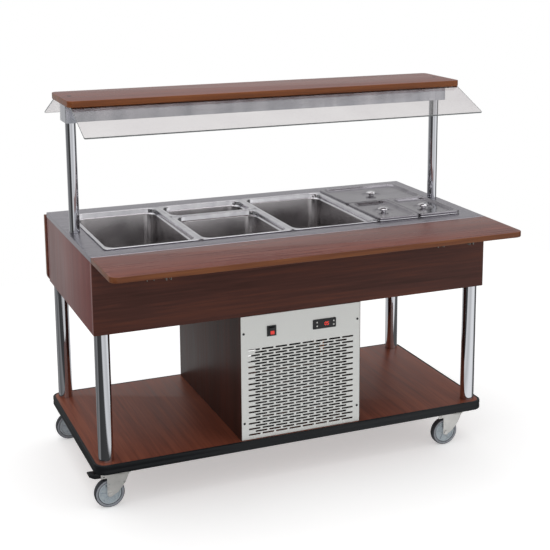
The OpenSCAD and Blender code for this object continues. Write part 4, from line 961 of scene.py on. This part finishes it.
repeated("leg_bolts_above", leg_bolt(-1),
         [(x, y, leg_high[2] + HEAD_OVER) for x, y in leg_spots], zinc)

# ---- Controls ----
# A snap-in rocker switch with a lit red rocker, and a black thermostat whose window shows
# two red digits between two pairs of silver buttons.

# The lens: width, height, the lean of the pressed half, and its place on the rocker
LENS_W, LENS_H, LENS_R, LENS_LEAN = 14 * mm, 11.8 * mm, 1.6 * mm, 0.056
LENS_RIGHT, LENS_DROP, LENS_DEEP = 2.5 * mm, 12.6 * mm, 3.2 * mm
LENS_LAYERS = (1.2 * mm, -0.1 * mm, -0.3 * mm)
BEZEL, BEZEL_R = 3 * mm, 3 * mm
# The bezel's section: height out of the panel and inset, millimetres
BEZEL_FORM = [(0, 0), (1.6, 0), (2.6, 0.5), (3, 1.4), (3, 3.4), (2.5, 3.8), (2.5, 14)]
CASE_IN, CASE_DEEP = 3.2 * mm, 60 * mm
WINDOW_X, WINDOW_W, WINDOW_H = 8 * mm, 22 * mm, 15 * mm
WINDOW_BACK, WINDOW_FRONT = BEZEL - 0.9 * mm, BEZEL - 0.1 * mm
DIGIT_W, DIGIT_H, BAR, BAR_GAP, DIGIT_SLANT = 5.4 * mm, 10.6 * mm, 1.5 * mm, 0.3, 0.08
LIGHT_BACK = BEZEL - 0.15 * mm
# The two digits, and how far each stands to the right of the window's middle
DIGITS = ((0, -4.6 * mm), (5, 4.2 * mm))
# Which bars are lit: top, upper left and right, middle, lower left and right, bottom
LIT = {0: (1, 1, 1, 0, 1, 1, 1), 5: (1, 1, 0, 1, 0, 1, 1)}
KEY_FORM = [(0, 0), (1.4, 0.05), (2.3, 0.3), (2.9, 0.9), (3.0, 1.5), (3.0, 5.0), (0, 5.0)]
# Clear red polycarbonate lens, lit from behind by a small neon
lens_red = finish("lit_red_lens", "rocker_red", "#D8221A", 1.5 * mm,
                  ("#C81C16", "#E63A2C"), rough=(0.14, 0.26), relief=0.05 * mm, IOR=1.58,
                  Emission_Color=linear("#FF2A1C"), Emission_Strength=0.3,
                  Coat_Weight=0.5, Coat_Roughness=0.08)
# Dark red acrylic window in front of the digits, glossy
smoked = finish("smoked_red_window", "black_plastic", "#220808", 3 * mm,
                ("#1C0606", "#2A0B0A"), rough=(0.08, 0.16), Coat_Weight=0.4)
# Red light-emitting segments, drawn full brightness
segment_red = finish("red_segment_light", "rocker_red", "#FF3A2C", Roughness=0.4,
                     Emission_Color=linear("#FF3A2C"), Emission_Strength=1.0)
# Silver-painted keys, slightly domed
silver_key = finish("silver_painted_key", "button_pale", "#D8D8D4", 1 * mm,
                    ("#CFCFCB", "#E2E2DE"), rough=(0.28, 0.4), Metallic=0.3)

refined("switch_frame", [black_abs], 1.2 * mm, bends=3)
refined("rocker", [black_abs], 0.6 * mm)
# The lens is let into the rocker's lower half, which the rest tilt has pressed in
low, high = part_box("rocker")
lens_x, lens_foot = (low[0] + high[0]) / 2 + LENS_RIGHT, control_z - LENS_DROP
outline = plan_ring((-LENS_W / 2, 0), (LENS_W / 2, LENS_H), LENS_R, 0.0, steps=4)
piece("rocker_lens",
      [shell([[(lens_x + x, low[1] + LENS_DEEP + out + z * LENS_LEAN, lens_foot + z)
               for x, z, _ in outline] for out in LENS_LAYERS])], [lens_red], ["rocker"])

low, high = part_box("thermostat")
thermo_x = (low[0] + high[0]) / 2
half = Vector((high[0] - low[0], high[2] - low[2])) / 2


def facing_front(rings):
    """Stands plan rings up on the panel, so that their height runs out towards -Y."""
    return [[(thermo_x + x, panel_face - out, control_z + z) for x, z, out in ring]
            for ring in rings]


bezel = [plan_ring(-half, half, BEZEL_R, out * mm, inset * mm) for out, inset in BEZEL_FORM]
case = board_rings((CASE_IN - half[0], CASE_IN - half[1], -CASE_DEEP),
                   (half[0] - CASE_IN, half[1] - CASE_IN, 0.0),
                   radius=1 * mm, edge=0.8 * mm)
window = board_rings((WINDOW_X - WINDOW_W / 2, -WINDOW_H / 2, WINDOW_BACK),
                     (WINDOW_X + WINDOW_W / 2, WINDOW_H / 2, WINDOW_FRONT),
                     radius=1 * mm, edge=0.2 * mm, bends=2)
piece("thermostat_case", [shell(facing_front(bezel)), shell(facing_front(case))],
      [black_abs], ["thermostat"], smooth=40)
piece("thermostat_window", [shell(facing_front(window))], [smoked], ["thermostat"])
across, up = DIGIT_W / 2, DIGIT_H / 2
ends = (((-across, up), (across, up)), ((-across, 0), (-across, up)),
        ((across, 0), (across, up)), ((-across, 0), (across, 0)),
        ((-across, -up), (-across, 0)), ((across, -up), (across, 0)),
        ((-across, -up), (across, -up)))
bars = []
for value, right in DIGITS:
    x = WINDOW_X + right
    for lit, (a, b) in zip(LIT[value], ends):
        if not lit:
            continue
        along = (Vector(b) - Vector(a)).normalized() * BAR
        side = Vector((-along[1], along[0])) / 2
        a, b = Vector(a) + along * BAR_GAP, Vector(b) - along * BAR_GAP
        corners = [a, a + along / 2 - side, b - along / 2 - side, b, b - along / 2 + side,
                   a + along / 2 + side]
        bars.append(shell(facing_front(
            [[(x + p[0] + DIGIT_SLANT * p[1], p[1], out) for p in corners]
             for out in (LIGHT_BACK, BEZEL)])))
piece("thermostat_digits", bars, [segment_red], ["thermostat"])
for name in ("button_1", "button_2", "button_3", "button_4"):
    low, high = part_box(name)
    centre = ((low[0] + high[0]) / 2, low[1], (low[2] + high[2]) / 2)
    piece(name + "_made", [turned(on_mm(KEY_FORM), centre, axis=1, steps=28)],
          [silver_key], [name], smooth=45)

# ---- Refrigeration ----
# A hermetic compressor in thick black paint, a condenser of thin fins on copper bends with
# its fan in a shroud, copper lines, and a small zinc-grey wiring box.

FIN_PITCH, FIN_SHEET, END_SHEET = 4 * mm, 0.5 * mm, 1.5 * mm
# How much less deep and high a fin is than the block, and how far it stands over its middle
FIN_IN, FIN_SHORT, FIN_UP = 1 * mm, 9 * mm, 4 * mm
TUBE_R, TUBE_ROWS, TUBE_STEP, TUBE_FOOT, TUBE_APART = 4 * mm, 8, 27 * mm, 26 * mm, 12 * mm
TUBE_IN = 0.2 * mm
# Compressor paint: thick gloss black, dusty on top
pot_paint = finish("gloss_black_machine_paint", "compressor_black", "#23262A", 9 * mm,
                   ("#1D2024", "#303338"), rough=(0.22, 0.42), relief=0.12 * mm)
# Drawn copper tube, lightly tarnished
copper = finish("drawn_copper_tube", "copper_pipe", "#B87333", 14 * mm,
                ("#9C5B2A", "#C58146"), rough=(0.24, 0.42), Metallic=1.0)
# Mill-finish aluminium: a soft grey sheen from the rolls
fin_metal = finish("mill_aluminium_fins", "fins", "#B9BCC0", 3 * mm, ("#A7AAAE", "#C3C6CA"),
                   rough=(0.3, 0.45), Metallic=1.0)
# Baked enamel on the motor's cast shell: mid grey, semi-matt
motor_paint = finish("grey_motor_enamel", "motor_grey", "#5A5E63", 4 * mm,
                     ("#52565B", "#64686D"), rough=(0.4, 0.55), relief=0.05 * mm)
# Moulded polypropylene blades: dull black with a waxy sheen
fan_plastic = finish("black_polypropylene_fan", "fan_plastic", "#2B2E31", 3 * mm,
                     ("#25282B", "#34373B"), rough=(0.42, 0.55), relief=0.04 * mm)
# Zinc-coated sheet, bare: even grey, slightly cloudy
box_paint = finish("zinc_grey_sheet", "box_grey", "#8A8D90", 5 * mm, ("#808386", "#95989B"),
                   rough=(0.35, 0.5))
refined("compressor", [pot_paint], 1.2 * mm)
refined("fan_motor", [motor_paint], 0.5 * mm)
refined("fan", [fan_plastic], 0.5 * mm)
refined("wiring_box", [box_paint], 0.8 * mm)
refined("refrigerant_pipes", [copper], 0.2 * mm, bends=1, smooth=60)

finning, given = geometry_tree("fins_in_a_row", Fin_size="Vector", Fin_gap="Float",
                               Fins="Int", Start="Vector", Finish="Material")
fin = add(finning, "GeometryNodeMeshCube", {"Size": given["Fin_size"]})
step = add(finning, "ShaderNodeCombineXYZ", {"X": given["Fin_gap"]})
row = add(finning, "GeometryNodeMeshLine", {
    "Count": given["Fins"], "Start Location": given["Start"], "Offset": step})
fins = add(finning, "GeometryNodeInstanceOnPoints", {"Points": row, "Instance": fin})
end_tree(finning, fins, given["Finish"])

low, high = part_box("condenser")
size, middle = high - low, (low + high) / 2
count = int((size[0] - 2 * END_SHEET) / FIN_PITCH) - 1
start = (middle[0] - (count - 1) / 2 * FIN_PITCH, middle[1], middle[2] + FIN_UP)
fin_block = grown(finning, [(0, 0, 0)], Fin_gap=FIN_PITCH, Fins=count, Start=start,
                  Fin_size=(FIN_SHEET, size[1] - FIN_IN, size[2] - FIN_SHORT),
                  Finish=fin_metal)
dress(put("condenser_fins", fin_block), [fin_metal], ["condenser"], outward=False)
ends = [shell(board_rings((x, low[1], low[2]), (x + END_SHEET, high[1], high[2]),
                          radius=0.4 * mm, edge=0.3 * mm, bends=1))
        for x in (low[0], high[0] - END_SHEET)]
half_run = size[0] / 2 - TUBE_IN
tubes = [turned([(TUBE_R, -half_run), (TUBE_R, half_run)],
                (middle[0], y, low[2] + TUBE_FOOT + k * TUBE_STEP), axis=0, steps=14)
         for k in range(TUBE_ROWS) for y in (middle[1] - TUBE_APART, middle[1] + TUBE_APART)]
piece("condenser_ends", ends, [fin_metal], ["condenser"])
piece("condenser_tubes", tubes, [copper], ["condenser"])

# ---- Tray shelves ----
# Laminated boards with a solid lipping, rounded at their two free corners, on folding
# brackets of zinc-plated steel. The front one is raised and the rear one is folded down.

SHELF_R, SQUARE, SHELF_EDGE = 28 * mm, 1.5 * mm, 2.5 * mm
FREE_CORNERS = [SHELF_R, SHELF_R, SQUARE, SQUARE]
FLAT_ON = 0.9
shelf_laminate = laminate("mahogany_melamine_lengthwise", "laminate",
                          ("#5C332C", "#714037", "#834C3F"), grain=0, roughness=0.30)
# The same beech on the tray shelves, stained darker
tray_lipping = laminate("dark_stained_lipping", "edge_laminate",
                        ("#5A301B", "#703E21", "#84502A"), grain=0, roughness=0.34)
# Passivated zinc plate, dull and greyer than the casters'
dull_zinc = finish("passivated_zinc_plate", "zinc", "#8C8C88", 12 * mm,
                   ("#80807D", "#989893"), rough=(0.38, 0.52), Metallic=0.8)


def lipped(normal, at):
    """Laminate on a level board's flat faces, lipping on its edges and their rounding."""
    return int(abs(normal[2]) < FLAT_ON)


low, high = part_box("front_shelf")
piece("front_shelf_made", [shell(board_rings(low, high, FREE_CORNERS, SHELF_EDGE))],
      [shelf_laminate, tray_lipping], ["front_shelf"], paint=lipped)
low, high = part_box("rear_shelf")
flat = board_rings(low.xzy, high.xzy, FREE_CORNERS, SHELF_EDGE)
piece("rear_shelf_made", [shell([[(x, y, z) for x, z, y in ring] for ring in flat])],
      [shelf_laminate, tray_lipping], ["rear_shelf"],
      paint=lambda normal, at: int(abs(normal[1]) < FLAT_ON))
for node in ("wall_plates", "front_arms", "rear_arms", "front_struts", "rear_struts"):
    refined(node, [dull_zinc], 0.5 * mm)

# ---- Posts ----
# Chromed tube, 35 mm, standing straight on the steel top and bolted through the canopy.

POST_END, POST_STEPS = 0.6 * mm, 56
stands = []
for x in post_spots:
    stands += plugged_tube(x, cart_y, post_low[2], POST_R, post_high[2] - post_low[2],
                           POST_END, POST_STEPS)
piece("chrome_posts", stands, [chrome], ["posts"])

# ---- Canopy shelf ----
# The same laminated board with solid lipping all round and rounded corners. The plugs over
# its bolts stand a little proud of its top.

CANOPY_R, CANOPY_EDGE, PLUG_PROUD = 20 * mm, 2.2 * mm, 0.4 * mm
top = roof_high - Vector((0, 0, PLUG_PROUD))
piece("canopy_board", [shell(board_rings(roof_low, top, CANOPY_R, CANOPY_EDGE))],
      [shelf_laminate, edge_lipping], ["canopy_shelf"], paint=lipped)

# ---- Light housing ----
# A channel folded from polished stainless, open below, with welded ends. The fluorescent
# tube sits in two plastic holders on a white batten inside.

HOUSING_BEND, HOUSING_WALL, ROOF_IN = 1.8 * mm, 1.2 * mm, 30 * mm
# The channel's lower edge, inset and height, millimetres
HEM = [(1.2, 0), (0.3, 0.1), (0, 0.5)]
HOLDER, HOLDER_W, HOLDER_LAP, HOLDER_DROP = 12 * mm, 30 * mm, 1 * mm, 2 * mm
BATTEN_W, BATTEN_H, BATTEN_PAST = 40 * mm, 20 * mm, 4 * mm
# Half section of the lamp: radius, and way in from the tube's end, millimetres
LAMP_FORM = [(1.4, -2), (1.4, 0), (12, 0), (13, 1), (13, 12), (12.8, 13)]
LAMP_SHORT, CAP_DEEP = 2 * mm, 12.6 * mm
# Polished stainless: a clearer mirror than the brushed top, with a soft haze
# Painted reflections: tall pale and dark bands in its colour stand for a mirrored room
polished = finish("polished_stainless", "stainless", "#B0B2BA", 60 * mm,
                  ("#8E929B", "#C9CAD0"), rough=(0.08, 0.16), relief=4 * mm,
                  stretch=(1, 1, 8), Metallic=1.0)
# Stoved white enamel on the batten and moulded white holders: even and semi-gloss
white_enamel = finish("white_enamel_batten", "lamp_glass", "#E6E6E0", 3 * mm,
                      ("#DEDED8", "#EDEDE8"), rough=(0.35, 0.45))
# Fluorescent tube: white phosphor behind glass, with metal end caps
phosphor = finish("phosphor_coated_glass", "lamp_glass", "#F4F4EC", 20 * mm,
                  ("#EEEEE4", "#F8F8F2"), rough=(0.18, 0.26), Coat_Weight=0.6,
                  Coat_Roughness=0.05)
low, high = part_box("light_housing")
roof = high[2] - HOUSING_WALL
rings = [plan_ring(low, high, HOUSING_BEND, roof, ROOF_IN),
         plan_ring(low, high, HOUSING_BEND, roof, HOUSING_WALL)]
rings += [plan_ring(low, high, HOUSING_BEND, low[2] + z * mm, inset * mm)
          for inset, z in HEM]
rings += bend_rings(low, high, HOUSING_BEND, 3)
rings.append(plan_ring(low, high, HOUSING_BEND, high[2], ROOF_IN))
piece("light_channel", [shell(rings)], [polished], ["light_housing"], smooth=35)
lamp_low, lamp_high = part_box("lamp_tube")
past = HOLDER + BATTEN_PAST
batten = board_rings((lamp_low[0] - past, cart_y - BATTEN_W / 2, roof - BATTEN_H),
                     (lamp_high[0] + past, cart_y + BATTEN_W / 2, roof),
                     radius=2 * mm, edge=1.5 * mm)
shells = [shell(batten)]
for x in (lamp_low[0] - HOLDER + HOLDER_LAP, lamp_high[0] - HOLDER_LAP):
    shells.append(shell(board_rings(
        (x, cart_y - HOLDER_W / 2, lamp_low[2] - HOLDER_DROP),
        (x + HOLDER, cart_y + HOLDER_W / 2, roof - BATTEN_H),
        radius=3 * mm, edge=1.5 * mm)))
piece("lamp_batten", shells, [white_enamel], ["light_housing"])
lamp_middle = (lamp_low + lamp_high) / 2
half_tube = (lamp_high[0] - lamp_low[0]) / 2 - LAMP_SHORT
section = both_sides([(radius, half_tube / mm - inward) for radius, inward in LAMP_FORM])
piece("fluorescent_tube", [turned(on_mm(section), lamp_middle, axis=0, steps=40)],
      [phosphor, fin_metal], ["lamp_tube"],
      paint=lambda normal, at: int(abs(at[0] - lamp_middle[0]) > half_tube - CAP_DEEP))

# ---- Guards ----
# Clear acrylic sheet, 5 mm, bent once: a flange clamped under the canopy shelf and a slope
# out over the pans. The sawn and flamed edges look darker than the faces.

GUARD, FLANGE, GUARD_CORNER, GUARD_BEND = 5 * mm, 40 * mm, 5 * mm, 6 * mm
EDGE_CLEAR, GUARD_EASE = 0.1 * mm, 0.6 * mm
# Points along the flange, and in each of the bend, the slope and the lower corner
FLANGE_STEPS, GUARD_STEPS = 4, 6
# Cast acrylic: clear with a faint grey cast from one side to the other
acrylic = finish("clear_cast_acrylic", "clear_guard", "#DBD7D8", 160 * mm,
                 ("#D3CFD0", "#DAD7D7"), Roughness=0.0, IOR=1.49, Transmission_Weight=1.0)
# Its sawn and flamed edge: cloudy, and dark where it lets no light straight through
acrylic_edge = finish("flamed_acrylic_edge", "clear_guard", "#8C9294", 6 * mm,
                      ("#7C8284", "#9DA3A5"), rough=(0.14, 0.3), IOR=1.49,
                      Transmission_Weight=0.35)
low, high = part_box("guards")
edge_y, under = roof_low[1], roof_low[2]
slope = math.atan2(under - low[2], edge_y - low[1])


def guard_path():
    """Points of the front sheet's middle: y, height, and distance from its lower edge."""
    knee = Vector((edge_y, under - GUARD / 2))
    tip = Vector((low[1] + GUARD / 2 * math.sin(slope) + EDGE_CLEAR,
                  low[2] + GUARD / 2 * math.cos(slope) + EDGE_CLEAR))
    length = (knee - tip).length
    out = (tip - knee) / length
    path = [(edge_y + FLANGE * (1 - k / FLANGE_STEPS) + GUARD_BEND * k / FLANGE_STEPS,
             knee[1], length) for k in range(FLANGE_STEPS)]
    for t in (k / GUARD_STEPS for k in range(GUARD_STEPS + 1)):
        bend = (knee + Vector((GUARD_BEND, 0))) * (1 - t) ** 2 + knee * 2 * t * (1 - t)
        bend += (knee + out * GUARD_BEND) * t * t
        path.append((bend[0], bend[1], length))
    stops = [length * k / GUARD_STEPS for k in range(GUARD_STEPS - 1, 0, -1)]
    stops += [GUARD_CORNER * (1 - math.sin(math.pi / 2 * k / GUARD_STEPS))
              for k in range(GUARD_STEPS + 1)]
    return path + [(*(tip - out * left), left) for left in stops]


def guard_mesh(sign):
    """The bent sheet, thickened both ways from its middle surface; sign 1 is the front."""
    points, faces = [], []
    for y, z, left in guard_path():
        cut = max(GUARD_CORNER - left, 0.0)
        narrow = GUARD_CORNER - math.sqrt(max(GUARD_CORNER ** 2 - cut ** 2, 0.0))
        y = y if sign > 0 else 2 * cart_y - y
        points += [(low[0] + narrow, y, z), (high[0] - narrow, y, z)]
    for k in range(0, len(points) - 2, 2):
        faces.append((k, k + 1, k + 3, k + 2)[::sign])
    mesh = bpy.data.meshes.new("guard_surface")
    mesh.from_pydata(points, [], faces)
    mesh.materials.append(acrylic)
    mesh.materials.append(acrylic_edge)
    carrier = put("guard_carrier", mesh)
    thick = carrier.modifiers.new("sheet", "SOLIDIFY")
    thick.thickness = GUARD
    thick.offset = 0.0
    thick.use_even_offset = True
    thick.material_offset_rim = 1
    ease_edges(carrier, GUARD_EASE, 2, 60).material = 1
    return baked(carrier)


for name, sign in (("front_guard", 1), ("rear_guard", -1)):
    dress(put(name, guard_mesh(sign)), [acrylic, acrylic_edge], ["guards"], smooth=20)

size = {"cad": [list(corner) for corner in cad_bounds],
        "visual": [list(corner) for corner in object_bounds()]}
